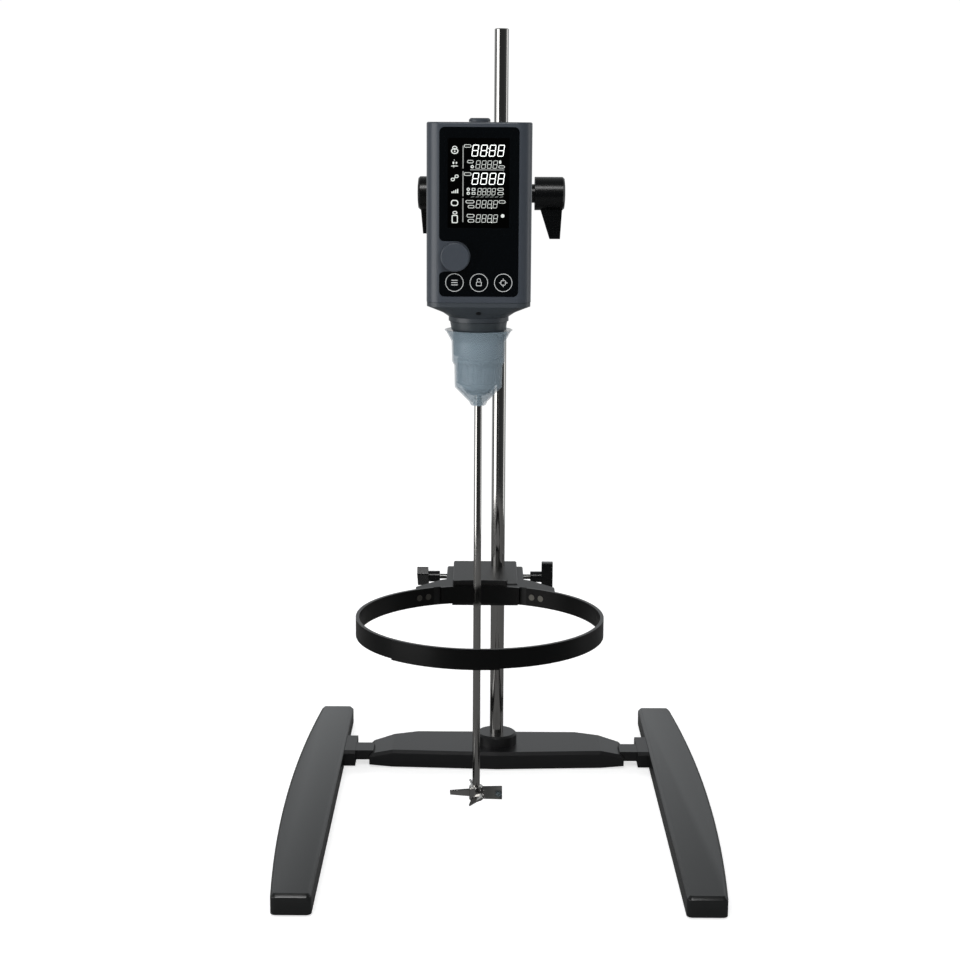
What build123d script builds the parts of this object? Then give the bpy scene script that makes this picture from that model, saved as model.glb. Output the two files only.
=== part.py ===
from build123d import *
import math
import os

# Overhead stirrer on an H-shaped stand, with a strap clamp for the vessel.
# Millimetres, +Z up. The origin is on the bench at the centre of the base.
# The operator stands on the -Y side.

# Shared small values
cut = 1.0
joint_depth = 4.0
overlap = 0.5
screw_gap = 0.2
fit_gap = 0.2
slide_gap = 0.08
seam_gap = 0.3
tip_gap = 0.1

# Base feet
base_length = 515.0
base_width = 408.2
foot_bow = 11.5
foot_end_width = 34.6
foot_top = 20.0
foot_edge = 3.0
foot_outer_corner = 6.0
foot_inner_corner = 5.0
pad_height = 1.5
pad_radius = 9.0
pad_recess = 1.0
pad_end_gap = 28.0

# Cross beam
rod_y = 138.5
beam_top = 19.0
beam_shoulder = 48.0
beam_taper = 24.0
beam_taper_drop = 5.0
beam_taper_lift = 1.6
beam_front_bow = 7.5
beam_end_offset_y = -4.0
beam_end_depth = 46.0
beam_hub_depth = 72.0
beam_edge = 3.0
neck_length = 14.7
neck_depth = 25.0
neck_offset_y = -10.0
neck_low = 7.0
neck_top = 17.0
end_block_width = 11.3
end_block_depth = 53.0
end_block_top = 17.5
tongue_length = 26.0
tongue_depth = 36.0
tongue_low = 5.0
tongue_top = 12.5
tongue_gap = 0.2
boss_radius = 21.0
boss_top = 31.0
boss_edge = 2.0

# Fasteners
beam_screw_radius = 3.0
beam_screw_seat = 1.7
beam_screw_head_radius = 5.0
beam_screw_pitch = 22.0
beam_screw_length = 13.0
case_screw_radius = 1.5
case_screw_head_radius = 2.8
case_screw_length = 10.0
case_pillar_wall = 1.5
case_pillar_reach = 3.0
case_screw_inset = 14.0
socket_depth_ratio = 0.5
socket_width_ratio = 0.5
case_screw_head_height = 2.0
case_screw_head_sink = 2.2

# Stand rod
rod_radius = 7.0
rod_top = 748.0
rod_low = 9.0
rod_edge = 0.8
rod_bolt_radius = 4.0
rod_bolt_head_radius = 6.5
rod_bolt_reach = 18.0
rod_bolt_tip_gap = 1.0
rod_bolt_seat = 5.5

# Boss head clamp
clamp_z_rise = 86.0
arm_radius = 6.5
arm_offset = 20.5
clamp_half_height = 22.0
clamp_half_depth = 21.0
clamp_wall = 8.0
clamp_corner = 5.0
clamp_boss_radius = 10.5
clamp_boss_right = 25.3
clamp_boss_left = 43.5
clamp_edge = 1.5

# Lever knobs of the boss head
lever_collar_radius = 9.2
lever_collar_length = 3.8
lever_hub_radius = 16.4
lever_hub_length = 29.5
lever_dome = 0.9
lever_edge = 1.8
lever_gap = 4.6
lever_reach = 44.5
lever_root_inset = 4.0
lever_root_ratio = 0.6
lever_slope_ratio = 0.8
lever_dome_ratio = 0.5
lever_tip_width = 10.4
lever_tip_inset = 3.9
lever_thickness = 10.0
lever_border = 1.8
lever_recess = 0.8
rib_pitch = 2.6
rib_height = 1.2
left_lever_turn = 30.0
clamp_screw_radius = 4.0
clamp_screw_grip = 18.0

# Stirrer head housing
spindle_y = -57.0
head_width = 91.7
head_depth = 120.0
head_front_gap = 45.0
head_seam = 503.0
head_height = 155.0
head_wall = 2.6
head_front_corner = 14.0
head_back_corner = 10.0
head_top_edge = 1.6
head_split_back = 42.0

# Front panel
bezel_width = 68.7
bezel_low_margin = 5.5
bezel_top_margin = 4.3
bezel_corner = 4.5
bezel_thickness = 1.6
bezel_inset = 0.2
seat_rim = 2.0
window_width = 53.2
window_low_margin = 59.3
window_top_margin = 9.1
window_offset = -0.65
notch_corner = 4.0

# Rotary knob
knob_x_offset = -20.55
knob_rise = 34.7
knob_radius = 12.5
knob_height = 9.0
knob_edge = 1.0
knob_notch_radius = 13.3
knob_lift = 1.0
knob_wall = 1.6
knob_skirt_depth = 6.5
encoder_shaft_radius = 3.0
encoder_shaft_grip = 6.0
encoder_hub_radius = 5.0
encoder_bush_radius = 4.5
encoder_bush_inset = 0.5
encoder_end_gap = 0.4
knob_bore_wall = 1.2
encoder_size = 14.0
encoder_depth = 6.4
push_travel = 0.6

# Display and control board
display_margin = 3.0
display_depth = 7.0
board_thickness = 1.6
board_margin = 3.0
board_low_gap = 4.0
board_high_gap = 16.0
chip_size = 10.0
chip_height = 2.5
chip_lift = 12.0
chip_pitch = 29.0

# Bottom cover and neck
cover_band = 4.0
cover_low_drop = 16.0
cover_neck_radius = 26.9
cover_lip = 4.0
cover_inset = 0.3
cover_lip_wall = 3.0
cover_floor = 1.5
cover_hole_radius = 2.2
cover_hole_depth = 16.0
cover_hole_tilt = 35.0
neck_bore_gap = 2.0
neck_low_z_drop = 27.4
neck_low_radius = 24.5
neck_seam_z_drop = 19.8
neck_groove = 0.6
spigot_low_drop = 51.0
spigot_wall = 3.2
spigot_head = 3.0
neck_edge = 0.8
neck_step = 1.2

# Spindle and drive
spindle_radius = 7.5
spindle_bore = 5.2
spindle_low_drop = 41.0
spindle_top_drop = 8.0
spindle_clearance = 1.0
spindle_edge = 0.5
bearing_outer = 16.0
bearing_width = 9.0
bearing_gap = 0.03
upper_bearing_drop = 20.0
lower_bearing_low_drop = 12.0
bearing_boss_wall = 3.0
bearing_rise = 1.0
bearing_race = 2.4
bearing_groove = 0.8
gear_module = 1.0
gear_teeth = 58
pinion_teeth = 18
gear_width = 9.0
gear_low_rise = 7.0
gear_backlash = 0.24
gear_root_ratio = 1.25
flank_steps = 3
pressure_angle = 20.0
gear_hub_radius = 12.0
gear_hub_length = 5.0
gear_window_radius = 5.5
gear_window_circle = 19.5
gear_windows = 6
motor_plate_low_rise = 22.0
motor_plate_thickness = 3.0
motor_plate_gap = 0.6
motor_plate_front_gap = 5.0
motor_plate_back_gap = 1.5
motor_plate_hole_gap = 1.5
motor_radius = 27.5
motor_height = 48.0
motor_edge = 2.0
motor_fins = 24
motor_groove_half = 1.0
motor_groove_inset = 6.0
motor_fin_depth = 1.2
motor_shaft_radius = 3.0
motor_shaft_grip = 16.0
motor_shaft_reveal = 0.5
plate_post_radius = 4.0
plate_post_inset = 8.6
plate_post_front = 22.0
plate_post_back = 14.0

# Plug over the bore
plug_head_radius = 9.5
plug_head_height = 3.4
plug_stem_radius = 7.6
plug_stem_length = 5.5
plug_gap = 0.15
plug_lead = 0.8
plug_edge = 1.4

# Support arm
arm_back = 176.0
arm_edge = 1.0
flange_radius = 18.0
flange_thickness = 7.0
flange_screw_circle = 13.0
flange_screw_sink = 3.0
flange_screw_radius = 2.7
flange_screw_height = 2.6
arm_socket_depth = 22.0
arm_socket_wall = 4.5

# Rear controls
rear_control_z_rise = 30.0
rear_control_pitch = 42.0
switch_width = 14.0
switch_height = 21.0
switch_depth = 11.0
switch_lip = 1.6
switch_lip_width = 1.8
switch_wall = 1.2
switch_floor = 2.0
rocker_gap = 0.4
rocker_tilt = 9.0
rocker_pivot_y = -2.0
rocker_pin_radius = 1.2
rocker_pin_depth = 0.8
rocker_end_gap = 1.1
rocker_rise = 1.0
rocker_side = 4.0
rocker_depth = 6.5
rocker_taper = 1.4
inlet_radius = 5.6
inlet_nut_radius = 8.0
inlet_nut_height = 3.0
inlet_bore = 2.8
inlet_pin_radius = 1.0
inlet_depth = 13.0
inlet_floor = 3.0
inlet_edge = 0.6

# Chuck
chuck_top_drop = 33.0
chuck_radius = 15.5
chuck_edge = 1.0
chuck_nose_top_drop = 78.0
chuck_nose_low_drop = 85.5
chuck_nose_radius = 10.5
sleeve_radius = 19.0
sleeve_gap = 0.25
sleeve_top_drop = 53.5
sleeve_low_drop = 77.5
sleeve_edge = 1.5
sleeve_flutes = 18
sleeve_flute_circle = 19.6
sleeve_flute_inset = 3.0
sleeve_flute_radius = 1.4
jaw_radius = 3.0
jaw_gap = 0.08
jaw_tilt = 15.0
jaw_low_drop = 87.0
jaw_top_drop = 65.0
jaw_foot_radius = 4.9
jaw_travel = 5.0
jaw_end_gap = 2.0
first_jaw_turn = 90.0
jaw_count = 3
jaw_grip_gap = 0.05

# Splash guard
guard_wall = 1.2
guard_rim_radius = 30.6
guard_rim_z_drop = 28.0
guard_rim_lip = 1.6
guard_upper_radius = 24.25
guard_upper_top_drop = 38.4
guard_upper_low_drop = 57.0
guard_upper_taper = 0.5
guard_lower_radius = 21.75
guard_lower_top_drop = 60.0
guard_lower_low_drop = 80.0
guard_lower_taper = 0.45
guard_nose_top_drop = 93.4
guard_nose_radius = 8.2
guard_nose_low_drop = 97.0
guard_nose_tip = 5.6
guard_hole = 4.6
guard_nose_fillet = 0.5
guard_fit = 0.25

# Stirring shaft and propeller
shaft_radius = 3.5
shaft_top_drop = 48.0
shaft_low = 28.0
shaft_edge = 0.6
propeller_radius = 24.6
propeller_edge = 1.0
propeller_hub_radius = 6.5
propeller_hub_height = 14.0
propeller_low = 29.5
blade_count = 4
blade_thickness = 1.5
blade_root_sink = 1.5
blade_root_width = 12.0
blade_tip_width = 15.0
blade_root_pitch = 52.0
blade_tip_pitch = 32.0
set_screw_radius = 1.5
set_screw_sink = 0.3

# Vessel strap clamp
strap_x = -18.0
strap_inner_radius = 111.5
strap_thickness = 3.2
strap_low = 192.0
strap_width = 17.5
strap_end_angle = 24.0
tail_thickness = 1.4
tail_drop = 0.6
tail_start_angle = -8.5
tail_end_angle = 42.0
bracket_x = -13.0
bracket_half = 68.0
bracket_gap = 0.4
bracket_wing_tip_back = 50.0
bracket_shoulder = 6.0
bracket_shoulder_back = 78.0
bracket_plate_back = 82.0
bracket_body_front = 60.0
bracket_step_front = 6.0
bracket_step_back = 3.0
bracket_block_half = 39.0
bracket_block_step = 6.5
bracket_block_drop = 5.0
bracket_low = 188.0
bracket_top = 210.0
bracket_plate_low = 191.0
bracket_plate_top = 209.0
bracket_block_back = 12.5
bracket_edge = 1.2
ridge_half_angle = 13.0
ridge_thickness = 5.0
ridge_top = 214.0
pad_half_angle = 20.0
wing_z = 198.0
wing_screw_radius = 2.5
wing_screw_reveal = 7.6
wing_hub_radius = 5.6
wing_hub_length = 11.6
wing_bar_length = 31.0
wing_bar_height = 11.4
wing_bar_width = 9.0
wing_edge = 1.2
left_wing_turn = 55.0
strap_screw_radius = 1.6
strap_screw_head_radius = 3.0
strap_screw_head = 0.9
strap_screw_reveal = 0.3
strap_screw_grip = 6.0
strap_screw_steps = (3.0, 8.0)

# Derived places
base_half_length = base_length / 2
base_half_width = base_width / 2
foot_end_x = base_half_width - foot_bow
foot_inner_x = foot_end_x - foot_end_width
beam_block_half = foot_inner_x - end_block_width - neck_length
beam_hub_half = beam_block_half - beam_shoulder
beam_taper_x = beam_block_half - beam_taper
head_top = head_seam + head_height
bezel_low = head_seam + bezel_low_margin
bezel_top = head_top - bezel_top_margin
window_low = bezel_low + window_low_margin
window_top = bezel_top - window_top_margin
knob_z = bezel_low + knob_rise
cover_low = head_seam - cover_low_drop
neck_low_z = head_seam - neck_low_z_drop
neck_seam_z = head_seam - neck_seam_z_drop
spigot_low = head_seam - spigot_low_drop
spindle_low = head_seam - spindle_low_drop
lower_bearing_low = head_seam - lower_bearing_low_drop
gear_low = head_seam + gear_low_rise
motor_plate_low = head_seam + motor_plate_low_rise
chuck_top = head_seam - chuck_top_drop
chuck_nose_top = head_seam - chuck_nose_top_drop
chuck_nose_low = head_seam - chuck_nose_low_drop
sleeve_top = head_seam - sleeve_top_drop
sleeve_low = head_seam - sleeve_low_drop
jaw_low = head_seam - jaw_low_drop
jaw_top = head_seam - jaw_top_drop
guard_rim_z = head_seam - guard_rim_z_drop
guard_upper_top = head_seam - guard_upper_top_drop
guard_upper_low = head_seam - guard_upper_low_drop
guard_lower_top = head_seam - guard_lower_top_drop
guard_lower_low = head_seam - guard_lower_low_drop
guard_nose_top = head_seam - guard_nose_top_drop
guard_nose_low = head_seam - guard_nose_low_drop
shaft_top = head_seam - shaft_top_drop
clamp_z = head_seam + clamp_z_rise
rear_control_z = head_seam + rear_control_z_rise
spindle_top = head_top - spindle_top_drop
upper_bearing_low = head_top - upper_bearing_drop
head_x = -arm_offset
head_front = spindle_y - head_front_gap
head_back = head_front + head_depth
head_mid_y = (head_front + head_back) / 2
head_split_y = head_back - head_split_back
head_span_x = (head_x - head_width, head_x + head_width)
head_span_z = (head_seam - cut, head_top + cut)
gear_distance = gear_module * (gear_teeth + pinion_teeth) / 2
motor_y = spindle_y + gear_distance
knob_x = head_x + knob_x_offset
bezel_front = head_front + bezel_inset
bezel_back = bezel_front + bezel_thickness
board_front = bezel_back + head_wall + display_depth
strap_outer_radius = strap_inner_radius + strap_thickness
bracket_inner_radius = strap_outer_radius + bracket_gap
right_lever_x = clamp_boss_right + lever_gap
left_lever_x = -clamp_boss_left - lever_gap
inlet_x = head_x + rear_control_pitch / 2
switch_x = head_x - rear_control_pitch / 2


def block(x_span, y_span, z_span):
    """A box between pairs of limits."""
    centre = [(low + high) / 2 for low, high in (x_span, y_span, z_span)]
    size = [high - low for low, high in (x_span, y_span, z_span)]
    return Pos(*centre) * Box(*size)


def post(radius, low, high, x=0.0, y=0.0):
    """An upright cylinder."""
    return Pos(x, y, (low + high) / 2) * Cylinder(radius, high - low)


def bar_x(radius, low, high, y, z):
    """A cylinder that lies along X."""
    return Pos((low + high) / 2, y, z) * Rot(0, 90, 0) * Cylinder(radius, high - low)


def bar_y(radius, low, high, x, z):
    """A cylinder that lies along Y."""
    return Pos(x, (low + high) / 2, z) * Rot(90, 0, 0) * Cylinder(radius, high - low)


def turned(points, x, y):
    """A turned piece: (radius, height) points spun about an upright axis."""
    profile = make_face(Polyline(*[(r, 0, z) for r, z in points], close=True))
    return Pos(x, y, 0) * revolve(profile, Axis.Z)


def turned_x(points, x, y, z, direction):
    """A turned piece along X: (radius, distance) points, pointing to direction."""
    profile = make_face(Polyline(*[(r, 0, d) for r, d in points], close=True))
    return Pos(x, y, z) * Rot(0, 90 * direction, 0) * revolve(profile, Axis.Z)


def ring_sector(inner, outer, low, high, start_angle, end_angle, x, y):
    """Part of an upright ring. Angles are in degrees from +Y, growing towards +X."""
    def at(radius, angle):
        turn = math.radians(angle)
        return (radius * math.sin(turn), radius * math.cos(turn))
    middle = (start_angle + end_angle) / 2
    outer_arc = ThreePointArc(at(outer, start_angle), at(outer, middle), at(outer, end_angle))
    inner_arc = ThreePointArc(at(inner, end_angle), at(inner, middle), at(inner, start_angle))
    start_edge = Line(at(inner, start_angle), at(outer, start_angle))
    end_edge = Line(at(outer, end_angle), at(inner, end_angle))
    plan = make_face([start_edge, outer_arc, end_edge, inner_arc])
    return Pos(x, y, low) * extrude(plan, high - low)


def socket_head(radius, height):
    """A screw head with its hexagon socket, face up, from z 0 to its height."""
    head = post(radius, 0, height)
    floor = height * (1 - socket_depth_ratio)
    socket = extrude(Pos(0, 0, floor) * RegularPolygon(radius * socket_width_ratio, 6), height)
    return head - socket


# Base

def foot_right():
    """Cast foot: straight inside, a long shallow arc outside, chamfered top."""
    inner = Line((foot_inner_x, -base_half_length), (foot_inner_x, base_half_length))
    back = Line((foot_inner_x, base_half_length), (foot_end_x, base_half_length))
    outer = ThreePointArc((foot_end_x, base_half_length), (base_half_width, 0),
                          (foot_end_x, -base_half_length))
    front = Line((foot_end_x, -base_half_length), (foot_inner_x, -base_half_length))
    foot = Pos(0, 0, pad_height) * extrude(make_face([inner, back, outer, front]), foot_top - pad_height)
    uprights = foot.edges().filter_by(Axis.Z).sort_by(Axis.X)
    foot = fillet(uprights[:2], foot_inner_corner)
    uprights = foot.edges().filter_by(Axis.Z).sort_by(Axis.X)
    foot = fillet(uprights[-2:], foot_outer_corner)
    foot = chamfer(foot.faces().sort_by(Axis.Z)[-1].edges(), foot_edge)
    slot_end = foot_inner_x + tongue_length + tongue_gap
    half_slot = tongue_depth / 2 + tongue_gap
    slot_span_y = (rod_y - half_slot, rod_y + half_slot)
    slot_span_z = (tongue_low - tongue_gap, tongue_top + tongue_gap)
    foot -= block((foot_inner_x - cut, slot_end), slot_span_y, slot_span_z)
    for y in beam_screw_rows():
        x = beam_screw_x()
        foot -= post(beam_screw_radius + screw_gap, pad_height, screw_tip_z(), x, y)
        foot -= post(beam_screw_head_radius + screw_gap, pad_height - cut, tongue_low - tongue_gap, x, y)
    for y in pad_rows():
        foot -= post(pad_radius + fit_gap, pad_height - cut, pad_height + pad_recess, pad_x(), y)
    return foot


def beam_screw_x():
    return foot_inner_x + tongue_length / 2


def beam_screw_rows():
    return [rod_y - beam_screw_pitch / 2, rod_y + beam_screw_pitch / 2]


def screw_tip_z():
    return beam_screw_seat + beam_screw_length


def pad_x():
    return (foot_inner_x + foot_end_x) / 2


def pad_rows():
    return [-base_half_length + pad_end_gap, base_half_length - pad_end_gap]


def foot_pads():
    """Round rubber pads, each let into the underside of a foot."""
    pads = []
    for side in (-1, 1):
        for y in pad_rows():
            pads.append(post(pad_radius, 0, pad_height + pad_recess, side * pad_x(), y))
    return Compound(pads)


def beam_screws():
    """Screws from below: head under the tongue, thread in the foot."""
    screws = []
    for side in (-1, 1):
        for y in beam_screw_rows():
            top = screw_tip_z() - screw_gap
            stem = post(beam_screw_radius, tongue_low, top)
            height = tongue_low - beam_screw_seat
            head = Pos(0, 0, tongue_low) * Rot(180, 0, 0) * socket_head(beam_screw_head_radius, height)
            screws.append(Pos(side * beam_screw_x(), y, 0) * (stem + head))
    return Compound(screws)


def on_taper_line(edge):
    """True for the edge between the level top of the beam and its sloping end."""
    return abs(edge.bounding_box().size.X) < tip_gap and abs(abs(edge.center().X) - beam_taper_x) < tip_gap


def cross_beam():
    """Beam between the feet: wide hub block, slim necks, end blocks and tongues."""
    end_front = rod_y + beam_end_offset_y - beam_end_depth / 2
    end_back = rod_y + beam_end_offset_y + beam_end_depth / 2
    hub_front = end_front - beam_front_bow
    hub_back = hub_front + beam_hub_depth
    outline = Polyline(
        (-beam_block_half, end_front),
        (0, hub_front),
        (beam_block_half, end_front),
        (beam_block_half, end_back),
        (beam_hub_half, hub_back),
        (-beam_hub_half, hub_back),
        (-beam_block_half, end_back),
        close=True,
    )
    beam = Pos(0, 0, pad_height) * extrude(make_face(outline), beam_top - pad_height)
    side_view = Polyline(
        (-beam_block_half, pad_height + beam_taper_lift),
        (-beam_taper_x, pad_height),
        (beam_taper_x, pad_height),
        (beam_block_half, pad_height + beam_taper_lift),
        (beam_block_half, beam_top - beam_taper_drop),
        (beam_taper_x, beam_top),
        (-beam_taper_x, beam_top),
        (-beam_block_half, beam_top - beam_taper_drop),
        close=True,
    )
    beam &= Pos(0, hub_back, 0) * Rot(90, 0, 0) * extrude(make_face(side_view), beam_hub_depth)
    top_faces = beam.faces().filter_by(lambda face: face.normal_at().Z > 0.9)
    rim = [edge for face in top_faces for edge in face.edges() if not on_taper_line(edge)]
    beam = chamfer(rim, beam_edge)
    collar = post(boss_radius, beam_top, boss_top, 0, rod_y)
    collar = chamfer(collar.faces().sort_by(Axis.Z)[-1].edges(), boss_edge)
    beam += collar
    end_inner = foot_inner_x - end_block_width
    neck_mid = rod_y + neck_offset_y
    neck_span_y = (neck_mid - neck_depth / 2, neck_mid + neck_depth / 2)
    end_span_y = (rod_y - end_block_depth / 2, rod_y + end_block_depth / 2)
    tongue_span_y = (rod_y - tongue_depth / 2, rod_y + tongue_depth / 2)
    neck = block((beam_block_half - joint_depth, end_inner + cut), neck_span_y, (neck_low, neck_top))
    end = block((end_inner, foot_inner_x), end_span_y, (pad_height, end_block_top))
    top_edges = end.faces().sort_by(Axis.Z)[-1].edges().filter_by(Axis.X)
    end = chamfer(top_edges, beam_edge)
    tongue = block((foot_inner_x - cut, foot_inner_x + tongue_length), tongue_span_y,
                   (tongue_low, tongue_top))
    for y in beam_screw_rows():
        tongue -= post(beam_screw_radius + screw_gap, 0, foot_top, beam_screw_x(), y)
    side = neck + end + tongue
    beam += side
    beam += mirror(side, about=Plane.YZ)
    beam -= post(rod_radius + slide_gap, rod_low, boss_top + cut, 0, rod_y)
    beam -= post(rod_bolt_radius + screw_gap, 0, rod_low + cut, 0, rod_y)
    beam -= post(rod_bolt_head_radius + screw_gap, 0, rod_bolt_seat, 0, rod_y)
    return beam


def stand_rod():
    """Bright steel rod with a tapped foot."""
    rod = post(rod_radius, rod_low, rod_top, 0, rod_y)
    rod = chamfer(rod.faces().sort_by(Axis.Z)[-1].edges(), rod_edge)
    rod -= post(rod_bolt_radius, rod_low, rod_low + rod_bolt_reach, 0, rod_y)
    return rod


def rod_bolt():
    """Bolt from below that pulls the rod down into its boss."""
    stem = post(rod_bolt_radius, rod_bolt_seat, rod_low + rod_bolt_reach - rod_bolt_tip_gap)
    height = rod_bolt_seat - pad_height
    head = Pos(0, 0, rod_bolt_seat) * Rot(180, 0, 0) * socket_head(rod_bolt_head_radius, height)
    return Pos(0, rod_y, 0) * (stem + head)


# Boss head clamp

def clamp_body():
    """Cast boss head: two crossed bores, one on each side of a common wall."""
    z_span = (clamp_z - clamp_half_height, clamp_z + clamp_half_height)
    y_span = (rod_y - clamp_half_depth, rod_y + clamp_half_depth)
    upright_x = (-rod_radius - joint_depth, rod_radius + clamp_wall)
    upright_y = (rod_y - rod_radius - clamp_wall, rod_y + rod_radius + clamp_wall)
    upright = block(upright_x, upright_y, z_span)
    upright = fillet(upright.edges().filter_by(Axis.Z), clamp_corner)
    level_low = -arm_offset - arm_radius - clamp_wall
    level_z = (clamp_z - arm_radius - clamp_wall, clamp_z + arm_radius + clamp_wall)
    level = block((level_low, -arm_offset + arm_radius + joint_depth), y_span, level_z)
    level = fillet(level.edges().filter_by(Axis.Y), clamp_corner)
    body = upright + level
    right_boss = bar_x(clamp_boss_radius, 0, clamp_boss_right, rod_y, clamp_z)
    left_boss = bar_x(clamp_boss_radius, -clamp_boss_left, -arm_offset, rod_y, clamp_z)
    right_boss = chamfer(right_boss.faces().sort_by(Axis.X)[-1].edges(), clamp_edge)
    left_boss = chamfer(left_boss.faces().sort_by(Axis.X)[0].edges(), clamp_edge)
    body += right_boss + left_boss
    body -= post(rod_radius + slide_gap, z_span[0] - cut, z_span[1] + cut, 0, rod_y)
    body -= bar_y(arm_radius + slide_gap, y_span[0] - cut, y_span[1] + cut, -arm_offset, clamp_z)
    screw_hole = clamp_screw_radius + slide_gap
    body -= bar_x(screw_hole, 0, clamp_boss_right + cut, rod_y, clamp_z)
    body -= bar_x(screw_hole, -clamp_boss_left - cut, -arm_offset, rod_y, clamp_z)
    return body


def lever_blade():
    """Tapered lever with a ribbed grip, hanging from an axis along Z at the origin."""
    inner_root = lever_collar_length + lever_root_inset
    outer_root = lever_collar_length + lever_hub_length - lever_edge
    tip_outer = lever_collar_length + lever_hub_length - lever_tip_inset
    tip_inner = tip_outer - lever_tip_width
    root_reach = lever_hub_radius * lever_root_ratio

    def outline(inset):
        return make_face(Polyline(
            (inner_root + inset, root_reach),
            (tip_inner + inset * lever_slope_ratio, lever_reach - inset),
            (tip_outer - inset, lever_reach - inset),
            (outer_root - inset, root_reach),
            close=True,
        ))
    half = lever_thickness / 2
    blade = Pos(0, 0, -half) * extrude(outline(0), lever_thickness)
    grip = Pos(0, 0, half - lever_recess) * extrude(outline(lever_border), lever_recess)
    ribs = []
    rib_at = lever_hub_radius + rib_pitch
    while rib_at < lever_reach - lever_border:
        rib_span = (rib_at - rib_height / 2, rib_at + rib_height / 2)
        ribs.append(block((0, lever_collar_length + lever_hub_length), rib_span,
                          (half - lever_recess, half)))
        rib_at += rib_pitch
    recess = grip
    for rib in ribs:
        recess -= rib
    blade -= recess
    blade -= mirror(recess, about=Plane.XY)
    return blade


def lever_knob(x, direction, turn):
    """Moulded knob on the X axis: collar, domed hub and a lever that hangs down."""
    end = lever_collar_length + lever_hub_length
    profile = [
        (clamp_screw_radius, 0),
        (lever_collar_radius, 0),
        (lever_collar_radius, lever_collar_length),
        (lever_hub_radius, lever_collar_length),
        (lever_hub_radius, end - lever_edge),
        (lever_hub_radius - lever_edge, end),
        (lever_hub_radius * lever_dome_ratio, end + lever_dome * lever_slope_ratio),
        (0, end + lever_dome),
        (0, clamp_screw_grip),
        (clamp_screw_radius, clamp_screw_grip),
    ]
    hub = turned_x(profile, 0, 0, 0, 1)
    blade = Rot(-90, 0, 0) * lever_blade()
    blade -= bar_x(lever_hub_radius - cut, -cut, end + cut, 0, 0)
    knob = hub + blade
    if direction < 0:
        knob = mirror(knob, about=Plane.YZ)
    return Pos(x, rod_y, clamp_z) * Rot(turn, 0, 0) * knob


def clamp_screw(tip_x, knob_x_place, direction):
    """Steel stud moulded into a lever knob."""
    end = knob_x_place + direction * clamp_screw_grip
    stud = bar_x(clamp_screw_radius, min(tip_x, end), max(tip_x, end), rod_y, clamp_z)
    tip = stud.faces().sort_by(Axis.X)[0 if direction > 0 else -1]
    return chamfer(tip.edges(), clamp_edge)


# Housing of the head

def head_outline(inset):
    """Plan of the housing: large front corners, smaller back ones."""
    plan = Pos(head_x, head_mid_y) * Rectangle(head_width - 2 * inset, head_depth - 2 * inset)
    plan = fillet(plan.vertices().sort_by(Axis.Y)[:2], head_front_corner - inset)
    return fillet(plan.vertices().sort_by(Axis.Y)[-2:], head_back_corner - inset)


def housing():
    """The whole upper housing, before it is parted into a front and a rear shell."""
    outer = Pos(0, 0, head_seam) * extrude(head_outline(0), head_top - head_seam)
    outer = fillet(outer.faces().sort_by(Axis.Z)[-1].edges(), head_top_edge)
    height = head_top - head_seam - head_wall
    inside = Pos(0, 0, head_seam - cut) * extrude(head_outline(head_wall), height + cut)
    return outer - inside


def notch_outline(grow):
    """The part of the panel that makes way for the knob, seen from the front."""
    radius = knob_notch_radius + grow
    left = head_x - bezel_width / 2 - seat_rim - cut
    notch = Pos(knob_x, knob_z) * Circle(radius)
    notch += Pos((left + knob_x) / 2, knob_z) * Rectangle(knob_x - left, 2 * radius)
    return notch


def bezel_outline(grow):
    """Rounded panel with a notch round the knob, in front view."""
    middle = (bezel_low + bezel_top) / 2
    plate = Pos(head_x, middle) * RectangleRounded(
        bezel_width + 2 * grow, bezel_top - bezel_low + 2 * grow, bezel_corner + grow)
    plate -= notch_outline(-grow)
    left = head_x - bezel_width / 2 - grow
    horns = [v for v in plate.vertices()
             if abs(v.X - left) < 0.01 and abs(abs(v.Y - knob_z) - knob_notch_radius + grow) < 0.01]
    return fillet(horns, notch_corner)


def front_slab(sketch, y_front, y_back):
    """A front-view sketch made solid between two depths."""
    return Pos(0, y_back, 0) * Rot(90, 0, 0) * extrude(sketch, y_back - y_front)


def front_shell():
    """Front half of the housing with the seat for the glass panel."""
    shell = housing() & block(head_span_x, (head_front - cut, head_split_y), head_span_z)
    seat_back = bezel_back + fit_gap
    shell += front_slab(bezel_outline(seat_rim), head_front + head_wall / 2, seat_back + head_wall)
    shell -= front_slab(bezel_outline(fit_gap), head_front - cut, seat_back)
    window_x = head_x + window_offset
    half_window = window_width / 2
    deep = seat_back + head_wall + cut
    shell -= block((window_x - half_window, window_x + half_window), (head_front, deep),
                   (window_low, window_top))
    shell -= bar_y(encoder_hub_radius, head_front - cut, deep, knob_x, knob_z)
    boss = post(bearing_outer + bearing_boss_wall, upper_bearing_low, head_top - head_wall, head_x,
                spindle_y)
    shell += boss
    shell -= post(bearing_outer, upper_bearing_low - cut, upper_bearing_low + bearing_width, head_x,
                  spindle_y)
    shell -= post(spindle_radius + spindle_clearance, upper_bearing_low, head_top - head_wall - cut,
                  head_x, spindle_y)
    shell -= post(plug_stem_radius + plug_gap, spindle_top, head_top + cut, head_x, spindle_y)
    return shell


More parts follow.
